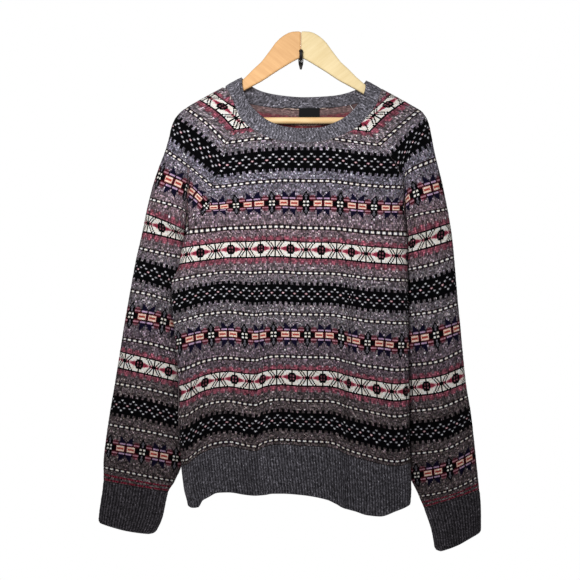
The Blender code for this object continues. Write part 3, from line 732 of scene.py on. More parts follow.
GAUGE = columns("""
course  two_stitches
-16     5.6
0       5.6
8       5.55
16      5.25
24      4.95
32      4.98
40      4.86
48      5.0
56      4.99
88      4.86
104     4.96
160     4.97
""")
# Ground colours down the garment: darker towards the hem, partly in the yarns and partly as painted shade.
GROUND_YARN_AND_SHADE = {
    "heather": linear("#6E6468"),
    "slate": linear("#68646F"),
    "rose grey": linear("#6F5C62"),
    "stone": linear("#655E64"),
    "plum grey": linear("#5E525A"),
    "peat": linear("#544B4D"),
}
GROUND_AT = {-4: "heather", 12: "slate", 40: "rose grey", 52: "stone", 68: "stone"}
GROUND_AT |= {80: "plum grey", 96: "peat"}


def ground_colours(courses):
    """The ground's colour at each course, darker towards the hem partly in the yarn and partly as painted
    shade: one shade passes slowly into the next.
    """
    at = np.array([float(course) for course in GROUND_AT])
    shades = np.array([GROUND_YARN_AND_SHADE[name] for name in GROUND_AT.values()])
    return np.stack([smooth(courses, at, shades[:, channel]) for channel in range(3)], -1)


ROW_COURSES, SHORTEST_ROW = 0.5, 0.15


def leg_width(course):
    return read(GAUGE, "two_stitches", course) / 4


def chart_heights(name):
    """How far each row of a chart reaches from the band's middle, in courses."""
    return np.cumsum([height for height, _ in CHARTS[name]])


def course_lines(bands, first, last):
    """The lines between the rows of stitches: the charts' own, with even rows between the bands."""
    marks = {float(first), float(last)}
    for middle, name, _ in bands:
        heights = chart_heights(name)
        centre = [0.0] if heights[0] >= 0.5 else []
        for offset in [*centre, *heights, *-heights]:
            if first < middle + offset < last:
                marks.add(round(float(middle + offset), 4))
    marks = sorted(marks)
    lines = [marks[0]]
    for start, end in zip(marks, marks[1:]):
        if end - lines[-1] < SHORTEST_ROW:
            continue
        count = max(1, round((end - start) / ROW_COURSES))
        lines += list(np.linspace(lines[-1], end, count + 1)[1:])
    return np.array(lines)


print(len(course_lines(BODY_BANDS, TOP_COURSE[-1], HEM_SEAM)) - 1, "rows of stitches in the front")

# %% [markdown]
# Colours go to the mesh as an attribute, one for each leg. Real stranded yarn is a marl: fibres of several
# shades are carded together, so neighbouring legs of one yarn differ. The ground is the most mixed, the
# black the least.

# %% Which yarn shows in each leg
GROUND_MIX = 0.75
YARN_MIX = {"C": 0.5, "q": 0.5, "v": 0.4, "n": 0.4}
PLAIN_MIX = 0.16
STITCH_MARL, LEG_MARL = 0.85, 0.5
WARMTH = 0.07
BRIGHTEST = 0.95


def yarn_colours(lines, legs, bands):
    """Linear colour of each face, for rows between the lines and for legs counted from the middle wale."""
    centres = (lines[1:] + lines[:-1]) / 2
    colours = np.repeat(ground_colours(centres)[:, None], len(legs), 1)
    mix = np.full(colours.shape[:2], GROUND_MIX)
    for middle, name, centred in bands:
        heights = chart_heights(name)
        rows = np.nonzero(np.abs(centres - middle) < heights[-1])[0]
        for i in rows:
            letters = CHARTS[name][int(np.searchsorted(heights, abs(centres[i] - middle)))][1]
            half = len(letters)
            step = np.mod(legs - centred, 2 * half)
            step = np.where(step < half, step, 2 * half - 1 - step)
            for letter in set(letters) - {"."}:
                here = np.isin(step, [k for k, other in enumerate(letters) if other == letter])
                colours[i, here] = YARN[letter]
                mix[i, here] = YARN_MIX.get(letter, PLAIN_MIX)
    stitches = np.unique(legs // 2, return_inverse=True)[1]
    by_stitch = chance.standard_normal((len(centres), stitches.max() + 1))[:, stitches]
    marl = np.exp(mix * (STITCH_MARL * by_stitch + LEG_MARL * chance.standard_normal(mix.shape)))
    warmth = 1 + WARMTH * mix[..., None] * chance.standard_normal(colours.shape)
    return np.clip(colours * marl[..., None] * warmth, 0.0, BRIGHTEST)

# %% [markdown]
# ## Knitting a piece
#
# Plain knitting is made of Vs: the two legs of a stitch lean towards each other, and each wale stands up
# between two furrows. On a grid with a line of points for each side of every leg, that is easy: points at
# the middle of a stitch move down by half a row, which gives the Vs, and stand proud of those between the
# wales. Points beyond a seam are held on it, and faces that vanish there are dropped.

# %% Laying stitches on courses
WALE_RISE = 0.35
UNEVEN = 0.12
CLOTH = 2.6
SEAM_TRIM = 0.3


def run_lengths(places):
    """How far along a row each of its points lies."""
    return np.concatenate([[0], np.cumsum(np.linalg.norm(np.diff(places, axis=0), axis=1))])


def pull_middles(base, middles):
    """The grid's points in one list, those at the middle of a stitch moved down by half a row."""
    pulled = base.copy()
    pulled[1:-1, middles] += 0.5 * (base[2:, middles] - base[1:-1, middles])
    return pulled.reshape(-1, 3)


def lay_courses(line_at, lines, legs, cloth_along):
    """The stitch grid's points, the leg lines just past a course's ends, and which points lie on the neck."""
    points = np.zeros((len(lines), len(legs), 3))
    ends = np.zeros((len(lines), 2), int)
    held = np.zeros((len(lines), len(legs)), bool)
    for i, course in enumerate(lines):
        places, on_neck = line_at(course)
        length = run_lengths(places)
        knitted = cloth_along(places, length, course)
        at = legs * leg_width(course)
        low, high = knitted[0] + SEAM_TRIM, knitted[-1] - SEAM_TRIM
        inside = np.nonzero((at > low) & (at < high))[0]
        ends[i] = inside[0] - 1, inside[-1] + 1
        at = np.clip(at, low, high)
        points[i] = np.stack([np.interp(at, knitted, places[:, k]) for k in range(3)], -1)
        held[i] = np.interp(at, knitted, on_neck.astype(float)) > 0.99
    return points, ends, held


def grid_faces(count_lines, legs, ends, held):
    """The grid's faces and their places in it, without those that vanish at a seam or in the neck."""
    column = np.arange(legs)
    index = np.arange(count_lines)[:, None] * legs + np.clip(column, ends[:, :1], ends[:, 1:])
    faces, places = [], []
    corners = np.stack([index[:-1, :-1], index[1:, :-1], index[1:, 1:], index[:-1, 1:]], -1)
    all_held = held[:-1, :-1] & held[1:, :-1] & held[1:, 1:] & held[:-1, 1:]
    for i, j in zip(*np.nonzero(~all_held)):
        face = list(dict.fromkeys(corners[i, j].tolist()))
        if len(face) > 2:
            faces.append(face)
            places.append((i, j))
    return faces, places


def face_normals(points, faces):
    """Directions out of each point, added up from the faces round it."""
    total = np.zeros_like(points)
    corners = np.array([face if len(face) == 4 else [*face, face[0]] for face in faces])
    first, second, third, fourth = (points[corners[:, k]] for k in range(4))
    across = np.cross(third - first, fourth - second)
    for k in range(4):
        np.add.at(total, corners[:, k], across)
    size = np.linalg.norm(total, axis=-1, keepdims=True)
    return total / np.where(size > 1e-9, size, 1)

# %% [markdown]
# The wrong side of the cloth is hardly seen, so it is a coarser grid behind the stitches, and a rim closes
# the two into one thin shell. The rim walks both edges at once and always steps along the side that lags
# behind.

# %% Closing the cloth into a thin shell
def edge_loop(faces):
    """The boundary of some faces as one loop of point numbers."""
    after = {}
    seen = set()
    for face in faces:
        for a, b in zip(face, face[1:] + face[:1]):
            seen.add((a, b))
    for a, b in seen:
        if (b, a) not in seen:
            after.setdefault(a, []).append(b)
    loops = []
    while after:
        start = min(after)
        loop, at = [start], start
        while True:
            step = after[at].pop()
            if not after[at]:
                del after[at]
            if step == start:
                break
            loop.append(step)
            at = step
        loops.append(loop)
    loops.sort(key=len)
    return loops[-1], len(loops)


def rim_faces(points, outer, inner):
    """Triangles between two loops that run side by side."""
    begin = int(np.argmin(np.linalg.norm(points[inner] - points[outer[0]], axis=1)))
    inner = inner[begin:] + inner[:begin]
    faces, i, j = [], 0, 0
    while i < len(outer) or j < len(inner):
        a, b = outer[i % len(outer)], inner[j % len(inner)]
        gain_outer = np.inf
        gain_inner = np.inf
        if i < len(outer):
            gain_outer = np.linalg.norm(points[outer[(i + 1) % len(outer)]] - points[b])
        if j < len(inner):
            gain_inner = np.linalg.norm(points[inner[(j + 1) % len(inner)]] - points[a])
        if gain_outer <= gain_inner:
            faces.append([outer[(i + 1) % len(outer)], a, b])
            i += 1
        else:
            faces.append([b, inner[(j + 1) % len(inner)], a])
            j += 1
    return faces

# %% [markdown]
# ## The whole piece
#
# One function knits any panel or sleeve: it lays the courses, pulls the Vs, raises the wales, colours the
# legs and closes the shell. Two numbers go along on a UV map, the stitch and the row, and the wool
# material uses them to round off every leg.

# %% Knit a piece
def build_piece(name, points, faces, colours, places, materials, slots):
    """A mesh object from points in millimetres, with a colour and a stitch-and-row place for each corner."""
    used = np.unique(np.concatenate([np.asarray(face) for face in faces]))
    fresh = np.full(len(points), -1)
    fresh[used] = np.arange(len(used))
    mesh = bpy.data.meshes.new(name)
    mesh.from_pydata((points[used] * MM).tolist(), [], [fresh[face].tolist() for face in faces])
    sizes = [len(face) for face in faces]
    # The yarn attribute holds each face's colour, painted light and shade included.
    yarn = mesh.color_attributes.new("yarn", "FLOAT_COLOR", "CORNER")
    rgba = np.concatenate([colours, np.ones((len(colours), 1))], 1)
    yarn.data.foreach_set("color", np.repeat(rgba, sizes, axis=0).astype(np.float32).ravel())
    stitches = mesh.uv_layers.new(name="stitches")
    corners = np.concatenate([np.asarray(face) for face in faces])
    stitches.uv.foreach_set("vector", places[corners].astype(np.float32).ravel())
    mesh.polygons.foreach_set("material_index", np.asarray(slots, np.int32))
    mesh.shade_smooth()
    for material in materials:
        mesh.materials.append(material)
    piece = bpy.data.objects.new(name, mesh)
    bpy.context.scene.collection.objects.link(piece)
    return piece


NECK_LEGS = 82
BACK_ROWS, BACK_LEGS = 4, 8
# Painted shade: the wrong side's colours are darkened to a warm brown, for the inside of the garment in
# shadow.
WRONG_SIDE_PAINTED_SHADE = np.array([0.56, 0.44, 0.4])
FLOAT_SHARE = 0.65


def knit_piece(name, line_at, bands, courses, reach, cloth_along, facing, seen_inside=-99.0):
    """A panel or sleeve in stranded knitting, from one course to another and up to its reach in legs."""
    lines = course_lines(bands, *courses)
    legs = np.arange(-reach, reach + 1)
    base, ends, held = lay_courses(line_at, lines, legs, cloth_along)
    middles = legs % 2 == 1
    pulled = pull_middles(base, middles)
    faces, cells = grid_faces(len(lines), len(legs), ends, held)
    if facing < 0:
        faces = [face[::-1] for face in faces]
    out = face_normals(pulled, faces)
    column = np.arange(len(legs))
    from_seam = np.minimum(column - ends[:, :1], ends[:, 1:] - column)
    rise = np.where(middles, WALE_RISE, -WALE_RISE) + UNEVEN * chance.standard_normal(base.shape[:2])
    rise = rise * np.clip(from_seam / 2, 0, 1)
    stitched = pulled + out * rise.reshape(-1, 1)
    colours = yarn_colours(lines, legs[:-1], bands)
    cells = np.array(cells)
    leg_colours = colours[cells[:, 0], cells[:, 1]]

    shown = np.nonzero(lines < seen_inside)[0]
    rows = np.unique([0, *shown, *range(0, len(lines), BACK_ROWS), len(lines) - 1])
    near = np.nonzero((np.abs(legs) < NECK_LEGS) & (seen_inside > lines[0]))[0]
    wales = np.unique([*near[::2], *range(0, len(legs), BACK_LEGS), len(legs) - 1])
    own = np.clip(wales[None], ends[rows, :1], ends[rows, 1:])
    inward = out.reshape(base.shape)[rows[:, None], own]
    behind = (base[rows[:, None], own] - inward * CLOTH).reshape(-1, 3)
    low = (wales[None] <= ends[rows, :1]).sum(1) - 1
    high = len(wales) - (wales[None] >= ends[rows, 1:]).sum(1)
    back_ends = np.stack([low, high], 1)
    back_faces, back_cells = grid_faces(len(rows), len(wales), back_ends, held[rows[:, None], own])
    if facing > 0:
        back_faces = [face[::-1] for face in back_faces]
    back_faces = [[k + len(stitched) for k in face] for face in back_faces]
    back_colours = np.array(
        [colours[rows[i] : rows[i + 1], wales[j] : wales[j + 1]].mean((0, 1)) for i, j in back_cells]
    )
    row_means = np.array([colours[rows[i] : rows[i + 1]].mean((0, 1)) for i, _ in back_cells])
    # Painted shade: the wrong side is darkened.
    back_colours = (back_colours * (1 - FLOAT_SHARE) + row_means * FLOAT_SHARE) * WRONG_SIDE_PAINTED_SHADE

    points = np.concatenate([stitched, behind])
    loop, loops = edge_loop(faces)
    back_loop, back_loops = edge_loop(back_faces)
    rim = rim_faces(points, loop, back_loop[::-1])
    rim_colours = np.repeat(colours.reshape(-1, 3).mean(0)[None], len(rim), 0)
    line_number, leg_number = np.divmod(np.arange(len(stitched)), len(legs))
    places = np.stack([legs[leg_number] / 2, line_number], -1)
    places = np.concatenate([places, np.zeros((len(behind), 2))])
    every = faces + back_faces + rim
    shades = np.concatenate([leg_colours, back_colours, rim_colours])
    slots = [0] * len(faces) + [1] * len(back_faces) + [0] * len(rim)
    piece = build_piece(name, points, every, shades, places, [stranded_wool, floats], slots)
    triangles = sum(len(face) - 2 for face in every)
    print(name, len(lines) - 1, "rows", triangles, "triangles, edge loops", loops, back_loops)
    return piece

# %% [markdown]
# ## Wool
#
# Wool is a matt, fuzzy yarn: it hardly shines, but loose fibres catch the light at grazing angles, which
# is what sheen is for. The colour comes from the "yarn" attribute, and fine noise about as wide as a fibre
# bundle breaks it up. Between the legs and rows the colour is darkened as painted shade. The bump rounds
# off each leg of each stitch, from the stitch and row numbers on the UV map.

# %% Add a node, and make the wool
def add_node(tree, kind, settings=(), **inputs):
    """A node with its settings; an input is a value or another node's output. Names use _ for a space."""
    node = tree.nodes.new(kind)
    for name, value in dict(settings).items():
        setattr(node, name, value)
    for name, value in inputs.items():
        socket = node.inputs[int(name[1:])] if name[1:].isdigit() else node.inputs[name.replace("_", " ")]
        if isinstance(value, bpy.types.NodeSocket):
            tree.links.new(value, socket)
        else:
            socket.default_value = value
    return node


def new_finish(name, **inputs):
    """A material with only a Principled shader, whose uniform values are set here."""
    finish = bpy.data.materials.new(name)
    finish.use_nodes = True
    shader = finish.node_tree.nodes["Principled BSDF"]
    for key, value in inputs.items():
        shader.inputs[key.replace("_", " ")].default_value = value
    return finish, finish.node_tree, shader


def multiply(tree, first, second):
    return add_node(tree, "ShaderNodeMath", {"operation": "MULTIPLY"}, _0=first, _1=second).outputs[0]


def remap(tree, value, *ends):
    """A value stretched from one range, the first two ends, to another."""
    inputs = {f"_{number}": end for number, end in enumerate(ends, 1)}
    return add_node(tree, "ShaderNodeMapRange", _0=value, **inputs).outputs[0]


def noise(tree, vector, **inputs):
    return add_node(tree, "ShaderNodeTexNoise", Vector=vector, **inputs).outputs["Fac"]


def blend(tree, share, first, second):
    """A colour between two hex colours."""
    ends = {"_6": (*linear(first), 1), "_7": (*linear(second), 1)}
    return add_node(tree, "ShaderNodeMix", {"data_type": "RGBA"}, _0=share, **ends).outputs[2]


def stretched(tree, vector, *lengths_mm):
    """Coordinates on which a pattern is as long, deep and high as these lengths."""
    scale = tuple(1 / (length * MM) for length in lengths_mm)
    return add_node(tree, "ShaderNodeMapping", Vector=vector, Scale=scale).outputs[0]


def colour_and_bump(tree, shader, colour, height, strength, depth_mm):
    tree.links.new(colour, shader.inputs["Base Color"])
    bump = add_node(tree, "ShaderNodeBump", Height=height, Strength=strength, Distance=depth_mm * MM)
    tree.links.new(bump.outputs[0], shader.inputs["Normal"])


def sine_of(tree, value, turns):
    """The height of a rounded leg: half a sine wave over each whole step of a value."""
    wave = add_node(tree, "ShaderNodeMath", {"operation": "SINE"}, _0=multiply(tree, value, math.pi * turns))
    return add_node(tree, "ShaderNodeMath", {"operation": "ABSOLUTE"}, _0=wave.outputs[0]).outputs[0]


WOOL = {"Roughness": 0.95, "Specular_IOR_Level": 0.04, "Sheen_Weight": 0.012, "Sheen_Roughness": 0.6}
FIBRE_MM = 0.7
FUZZ_MM = 0.25
FUZZ_HEIGHT = 0.6
LEG_DEPTH_MM = 0.35
# Painted shade: the share of the yarn colour left in the crevices between legs and rows.
CREVICE_SHADE = 0.3


def scaled_yarn(tree, amount):
    """The colour attribute from the mesh, made lighter or darker by an amount."""
    yarn = add_node(tree, "ShaderNodeAttribute", {"attribute_name": "yarn"}).outputs["Color"]
    return add_node(tree, "ShaderNodeVectorMath", {"operation": "SCALE"}, _0=yarn, Scale=amount).outputs[0]


def wool(name):
    """Carded wool yarn, knitted: matt, with hardly any sheen, and painted shade between the legs."""
    finish, tree, shader = new_finish(name, **WOOL, IOR=1.45)
    place = add_node(tree, "ShaderNodeTexCoord")
    fibres = noise(tree, place.outputs["Object"], Scale=1 / (FIBRE_MM * MM), Detail=3.0, Roughness=0.7)
    shade = remap(tree, fibres, 0.3, 0.7, 0.72, 1.28)
    stitch_row = add_node(tree, "ShaderNodeSeparateXYZ", Vector=place.outputs["UV"])
    legs = sine_of(tree, stitch_row.outputs[0], 2)
    rows = sine_of(tree, stitch_row.outputs[1], 1)
    rounded = multiply(tree, legs, rows)
    # Painted shade: the colour is darkened in the crevices between the legs and rows.
    painted_crevice_shade = remap(tree, rounded, 0.0, 0.7, CREVICE_SHADE, 1.0)
    fuzz = noise(tree, place.outputs["Object"], Scale=1 / (FUZZ_MM * MM), Detail=2.0)
    add = {"operation": "MULTIPLY_ADD"}
    height = add_node(tree, "ShaderNodeMath", add, _0=fuzz, _1=FUZZ_HEIGHT, _2=rounded).outputs[0]
    colour_and_bump(tree, shader, scaled_yarn(tree, multiply(tree, shade, painted_crevice_shade)), height, 0.7, LEG_DEPTH_MM)
    return finish


stranded_wool = wool("stranded_wool")
ribbed_wool = wool("ribbed_wool")
print("finishes:", stranded_wool.name, ribbed_wool.name)

# %% [markdown]
# On the wrong side the unused yarn runs across behind the stitches in short floats. They show as dashes
# along the courses, so a noise that is stretched sideways mixes light and dark into the row's mean colour.

# %% The wrong side
FLOAT_LENGTH_MM, FLOAT_HEIGHT_MM = 7.0, 1.6


def wool_floats(name):
    finish, tree, shader = new_finish(name, **WOOL)
    place = add_node(tree, "ShaderNodeTexCoord").outputs["Object"]
    across = stretched(tree, place, FLOAT_LENGTH_MM, FLOAT_HEIGHT_MM, FLOAT_HEIGHT_MM)
    dashes = noise(tree, across, Scale=1.0, Detail=4.0, Roughness=0.6)
    shade = remap(tree, dashes, 0.35, 0.65, 0.55, 1.5)
    colour_and_bump(tree, shader, scaled_yarn(tree, shade), dashes, 0.6, 0.6)
    return finish


floats = wool_floats("wool_floats")
print("finish:", floats.name)

# %% [markdown]
# ## The body
#
# Front and back are knitted from the neck down to the hem rib. Their wales are counted from the middle of
# the body. The two side folds take in a little more cloth than their soft form has, so the count runs
# faster through them.

# %% Front and back
BODY_LEGS, SLEEVE_LEGS = 190, 130
ABOVE_SEAM, BELOW_SEAM = 0.1, 0.05
FOLD_SPREAD = {"left": 30.0, "right": 14.0}
TAKEN_IN = columns("""
course  left_x  left  right_x  right
24      -72    -3.5   90       0
40      -72     3     89       2
56      -73     6     86       10
72      -74     8     83       10
88      -75     3.5   81       7
104     -76    -4.5   78       -2.5
""")


def from_the_middle(places, length, course):
    """Cloth along a course of the body, counted from its middle."""
    x = places[:, 0]
    knitted = length - np.interp(0.0, x, length)
    for side, name in SIDES.items():
        fold_x, taken = (read(TAKEN_IN, key, course) for key in (f"{name}_x", name))
        knitted = knitted + side * taken * ease(side * (x - fold_x) / FOLD_SPREAD[name] + 0.5)
    return knitted


def piece_of(node, piece):
    """The piece rides on the jumper's one body and stands for its plain CAD wall."""
    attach(piece, "root")
    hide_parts(node)
    return piece


front = knit_piece(
    "knitted_front",
    lambda course: body_line(course, -1),
    BODY_BANDS,
    (TOP_COURSE[-1], HEM_SEAM - ABOVE_SEAM),
    BODY_LEGS,
    from_the_middle,
    1,
)
back = knit_piece(
    "knitted_back",
    lambda course: body_line(course, 1),
    BODY_BANDS,
    (BACK_NECK_COURSE, HEM_SEAM - ABOVE_SEAM),
    BODY_LEGS,
    from_the_middle,
    -1,
    seen_inside=4.0,
)
piece_of("front_panel", front)
piece_of("back_panel", back)

# %% [markdown]
# ## The sleeves
#
# Each sleeve is one tube. Its wales are counted from its outer edge, where the sleeve would be folded when
# it is laid flat, so that the motifs run on round it.

# %% Both sleeves
def from_the_outer_edge(places, length, course):
    return length - length[len(places) // 2]


for side, name in SIDES.items():
    sleeve = knit_piece(
        f"knitted_sleeve_{name}",
        lambda course: sleeve_line(course, side),
        SLEEVE_BANDS[side],
        (TOP_COURSE[1], CUFF_SEAM - ABOVE_SEAM),
        SLEEVE_LEGS,
        from_the_outer_edge,
        side,
    )
    piece_of(f"sleeve_{name}", sleeve)

# %% [markdown]
# ## The ribs
#
# Hem, cuffs and neckband are one-by-one rib: a wale of plain stitches stands up, the next, purled, sinks
# back. Each pair takes five millimetres. The cloth is thicker than one sheet of plain knitting, and the
# shell is closed here with a plain inside that has one point for each pair of wales.

# %% Ribbed bands
RIB_PAIR_MM = 5.0
RIB_LEGS = 6
RIB_PROFILE = np.array([-0.35, 0.45, 0.75, 0.75, 0.45, -0.35])
# Painted light and shade on the rib: the sunken purled wales darker, the raised plain wales lighter.
RIB_PAINTED_LIGHT_AND_SHADE = np.array([0.5, 1.1, 1.45, 1.45, 1.1, 0.5])
RIB_BACK = 2.6
INNER_RISE = 0.5
# Painted light: the neckband's inside is made lighter than its yarn.
INSIDE_PAINTED_LIGHT = 1.8
BAND_BACK = 3.2
# One charcoal yarn for all ribs, in painted shades: lightest at the neckband, darker at the hem, darkest at
# the cuffs.
CHARCOAL_PAINTED_SHADES = {"neckband": linear("#67656D"), "hem": linear("#525056"), "cuff": linear("#434045")}
RIB_MIX = 0.55
RIB_WALE_MARL, RIB_LEG_MARL = 0.6, 0.8
EDGE_RISE = 0.35


def along(row, shares):
    """Points at equal shares of a row's length."""
    length = run_lengths(row)
    return np.stack([np.interp(shares * length[-1], length, row[:, k]) for k in range(3)], -1)


def knit_rib(name, rows, colour, facing, closed, inside=None):
    """A band in one-by-one rib over rows of points. The inside may have rows of its own, ribbed too."""
    lengths = [np.linalg.norm(np.diff(row, axis=0), axis=1).sum() for row in rows]
    pairs = int(round(np.mean(lengths) / RIB_PAIR_MM))
    count = pairs * RIB_LEGS
    shares = np.arange(count if closed else count + 1) / count
    base = np.array([along(row, shares) for row in rows])
    wide = base.shape[1]
    profile = RIB_PROFILE[np.arange(wide) % RIB_LEGS]
    middles = (np.arange(wide) % RIB_LEGS) == 2
    pulled = pull_middles(base, middles)
    faces, cells = [], []
    for i in range(len(rows) - 1):
        for j in range(wide if closed else wide - 1):
            k = (j + 1) % wide
            face = [i * wide + j, (i + 1) * wide + j, (i + 1) * wide + k, i * wide + k]
            faces.append(face if facing > 0 else face[::-1])
            cells.append((i, j))
    out = face_normals(base.reshape(-1, 3), faces)
    uneven = UNEVEN * chance.standard_normal(base.shape[:2])
    from_edge = np.minimum(np.arange(len(rows)), np.arange(len(rows))[::-1])
    edge = np.clip(from_edge / 2, EDGE_RISE, 1)[:, None]
    stitched = pulled + out * ((profile + uneven) * edge).reshape(-1, 1)
    picks = np.arange(0, wide, RIB_LEGS if inside is None else RIB_LEGS // 2)
    lines = np.unique([*range(0, len(rows), 4 if inside is None else 1), len(rows) - 1])
    chosen = (lines[:, None] * wide + picks[None]).ravel()
    if inside is None:
        behind = base.reshape(-1, 3)[chosen] - out[chosen] * RIB_BACK
    else:
        deep = BAND_BACK - INNER_RISE * profile[chosen % wide]
        own = np.array([along(row, shares) for row in inside]).reshape(-1, 3)
        behind = own[chosen] - out[chosen] * deep[:, None]
    start = len(stitched)
    narrow = len(picks)
    back_faces = []
    for i in range(len(lines) - 1):
        for j in range(narrow if closed else narrow - 1):
            k = (j + 1) % narrow
            corners = (i * narrow + j, i * narrow + k, (i + 1) * narrow + k, (i + 1) * narrow + j)
            face = [start + corner for corner in corners]
            back_faces.append(face if facing > 0 else face[::-1])
    points = np.concatenate([stitched, behind])
    rim = []
    if closed:
        last, last_back = len(rows) - 1, len(lines) - 1
        top = list(range(wide))
        top_back = list(range(start, start + narrow))
        foot = [last * wide + j for j in range(wide)]
        foot_back = [start + last_back * narrow + j for j in range(narrow)]
        for loop, loop_back, way in ((top, top_back, -1), (foot, foot_back, 1)):
            if way * facing > 0:
                rim += rim_faces(points, loop, loop_back)
            else:
                rim += [face[::-1] for face in rim_faces(points, loop, loop_back)]
    else:
        rim = rim_faces(points, edge_loop(faces)[0], edge_loop(back_faces)[0][::-1])
    every = faces + back_faces + rim
    by_wale = chance.standard_normal((len(rows) - 1, wide // 3 + 1))[:, np.arange(wide) // 3]
    by_leg = chance.standard_normal((len(rows) - 1, wide))
    marl = np.exp(RIB_MIX * (RIB_WALE_MARL * by_wale + RIB_LEG_MARL * by_leg))
    # Painted light and shade on the wales, at half strength on the neckband.
    marl = marl * RIB_PAINTED_LIGHT_AND_SHADE[np.arange(wide) % RIB_LEGS] ** (1.0 if inside is None else 0.5)
    own = np.array([marl[i, j] for i, j in cells])[:, None] * colour[None]
    rest = np.exp(RIB_MIX * chance.standard_normal(len(back_faces) + len(rim)))[:, None] * colour[None]
    # Painted light on the neckband's inside.
    rest = rest * (1.0 if inside is None else INSIDE_PAINTED_LIGHT)
    line_number, leg_number = np.divmod(np.arange(len(stitched)), wide)
    places = np.concatenate([np.stack([leg_number / 2, line_number], -1), np.zeros((len(behind), 2))])
    shades = np.concatenate([own, rest])
    piece = build_piece(name, points, every, shades, places, [ribbed_wool], [0] * len(every))
    print(name, pairs, "pairs of wales,", sum(len(face) - 2 for face in every), "triangles")
    return piece


def rib_courses(first, last):
    return np.linspace(first, last, int(round((last - first) * 2)) + 1)


for sheet, name in SHEETS.items():
    rows = [body_line(course, sheet)[0] for course in rib_courses(HEM_SEAM + BELOW_SEAM, HEM_END)]
    hem = knit_rib(f"knitted_hem_{name}", rows, CHARCOAL_PAINTED_SHADES["hem"], -sheet, False)
    piece_of(f"hem_rib_{name}", hem)

for side, name in SIDES.items():
    rows = [sleeve_line(course, side)[0][:-1] for course in rib_courses(CUFF_SEAM + BELOW_SEAM, CUFF_END)]
    rows = [np.concatenate([row, row[:1]]) for row in rows]
    cuff = knit_rib(f"knitted_cuff_{name}", rows, CHARCOAL_PAINTED_SHADES["cuff"], side, True)
    piece_of(f"cuff_{name}", cuff)

# %% [markdown]
# The neckband is the same rib, folded double. Its rows run round the neck between the two edges of the
# neck table, over both arms of the hanger. Inside it is sewn down a little beyond the seam, which hides
# the raw edges.

# %% Neckband
BAND_ROWS = 11
BAND_INSET = 0.016
SEWN_OVER = -0.07


def neckband_line(share):
    stations = np.linspace(0, STATIONS, 1400)
    outer, inner = neck_edge(stations), neck_edge(stations, "inner")
    flat = outer + (inner - outer) * share
    in_front = (stations > RIDGE_STATIONS[0]) & (stations < RIDGE_STATIONS[1])
    y = np.where(in_front, sheet_y(flat[:, 0], flat[:, 1], -1), sheet_y(flat[:, 0], flat[:, 1], 1))
    return np.stack([flat[:, 0], y, -flat[:, 1]], -1)


band_rows = [neckband_line(share) for share in np.linspace(BAND_INSET, 1, BAND_ROWS)[::-1]]
inner_rows = [neckband_line(share) for share in np.linspace(SEWN_OVER, 1, BAND_ROWS)[::-1]]
neckband = knit_rib("knitted_neckband", band_rows, CHARCOAL_PAINTED_SHADES["neckband"], 1, True, inner_rows)
piece_of("neckband", neckband)

# %% [markdown]
# ## The label
#
# A small black woven tape, left bare, sewn inside the back neck. It is a thin sheet with turned ends, and
# its satin weave shows as fine cross lines.

# %% Label
LABEL_LEFT, LABEL_RIGHT = -3.5, 33.0
LABEL_TOP, LABEL_BOTTOM = 82.5, 98.0
LABEL_COLUMNS, LABEL_ROWS = 40, 16
LABEL_OFF_CLOTH = 3.3
LABEL_THICK = 0.8
LABEL_TURNED, LABEL_WAVE = 0.25, 0.15
THREAD_MM = 0.25
WAVES_PER_UNIT = 20


def label_tape():
    finish, tree, shader = new_finish("polyester_satin_tape", Roughness=0.85, Specular_IOR_Level=0.1)
    weave = add_node(
        tree,
        "ShaderNodeTexWave",
        {"wave_type": "BANDS", "bands_direction": "Z"},
        Vector=add_node(tree, "ShaderNodeTexCoord").outputs["Object"],
        Scale=1 / (THREAD_MM * MM) / WAVES_PER_UNIT,
        Distortion=0.4,
    ).outputs["Fac"]
    colour_and_bump(tree, shader, blend(tree, weave, "#0B0B0C", "#1A1A1C"), weave, 0.3, 0.1)
    return finish


def woven_label():
    xs = np.linspace(LABEL_LEFT, LABEL_RIGHT, LABEL_COLUMNS)
    downs = np.linspace(LABEL_TOP, LABEL_BOTTOM, LABEL_ROWS)
    x, down = np.meshgrid(xs, downs)
    near = sheet_y(x.ravel(), down.ravel(), 1).reshape(x.shape) - LABEL_OFF_CLOTH
    edge = np.minimum(x - LABEL_LEFT, LABEL_RIGHT - x)
    waves = np.sin(x / 6.0) * np.sin(down / 4.0)
    near = near - LABEL_TURNED * np.exp(-((edge / 1.2) ** 2)) + LABEL_WAVE * waves
    build = bmesh.new()
    sheets = []
    for y in (near, near - LABEL_THICK * 0.7):
        spots = np.stack([x, y, -down], -1) * MM
        sheets.append([[build.verts.new(spot) for spot in row] for row in spots])
    last_row, last_column = LABEL_ROWS - 1, LABEL_COLUMNS - 1
    for sheet, flip in zip(sheets, (1, -1)):
        for i in range(last_row):
            for j in range(last_column):
                face = [sheet[i][j], sheet[i][j + 1], sheet[i + 1][j + 1], sheet[i + 1][j]]
                build.faces.new(face[::flip])
    border = [(0, j) for j in range(LABEL_COLUMNS)] + [(i, last_column) for i in range(1, LABEL_ROWS)]
    border += [(last_row, j) for j in range(last_column - 1, -1, -1)]
    border += [(i, 0) for i in range(last_row - 1, 0, -1)]
    for (a, b), (c, d) in zip(border, border[1:] + border[:1]):
        build.faces.new([sheets[0][a][b], sheets[1][a][b], sheets[1][c][d], sheets[0][c][d]])
    bmesh.ops.recalc_face_normals(build, faces=build.faces)
    mesh = bpy.data.meshes.new("woven_label")
    build.to_mesh(mesh)
    build.free()
    mesh.shade_smooth()
    mesh.materials.append(label_tape())
    label = bpy.data.objects.new("woven_label", mesh)
    bpy.context.scene.collection.objects.link(label)
    return label


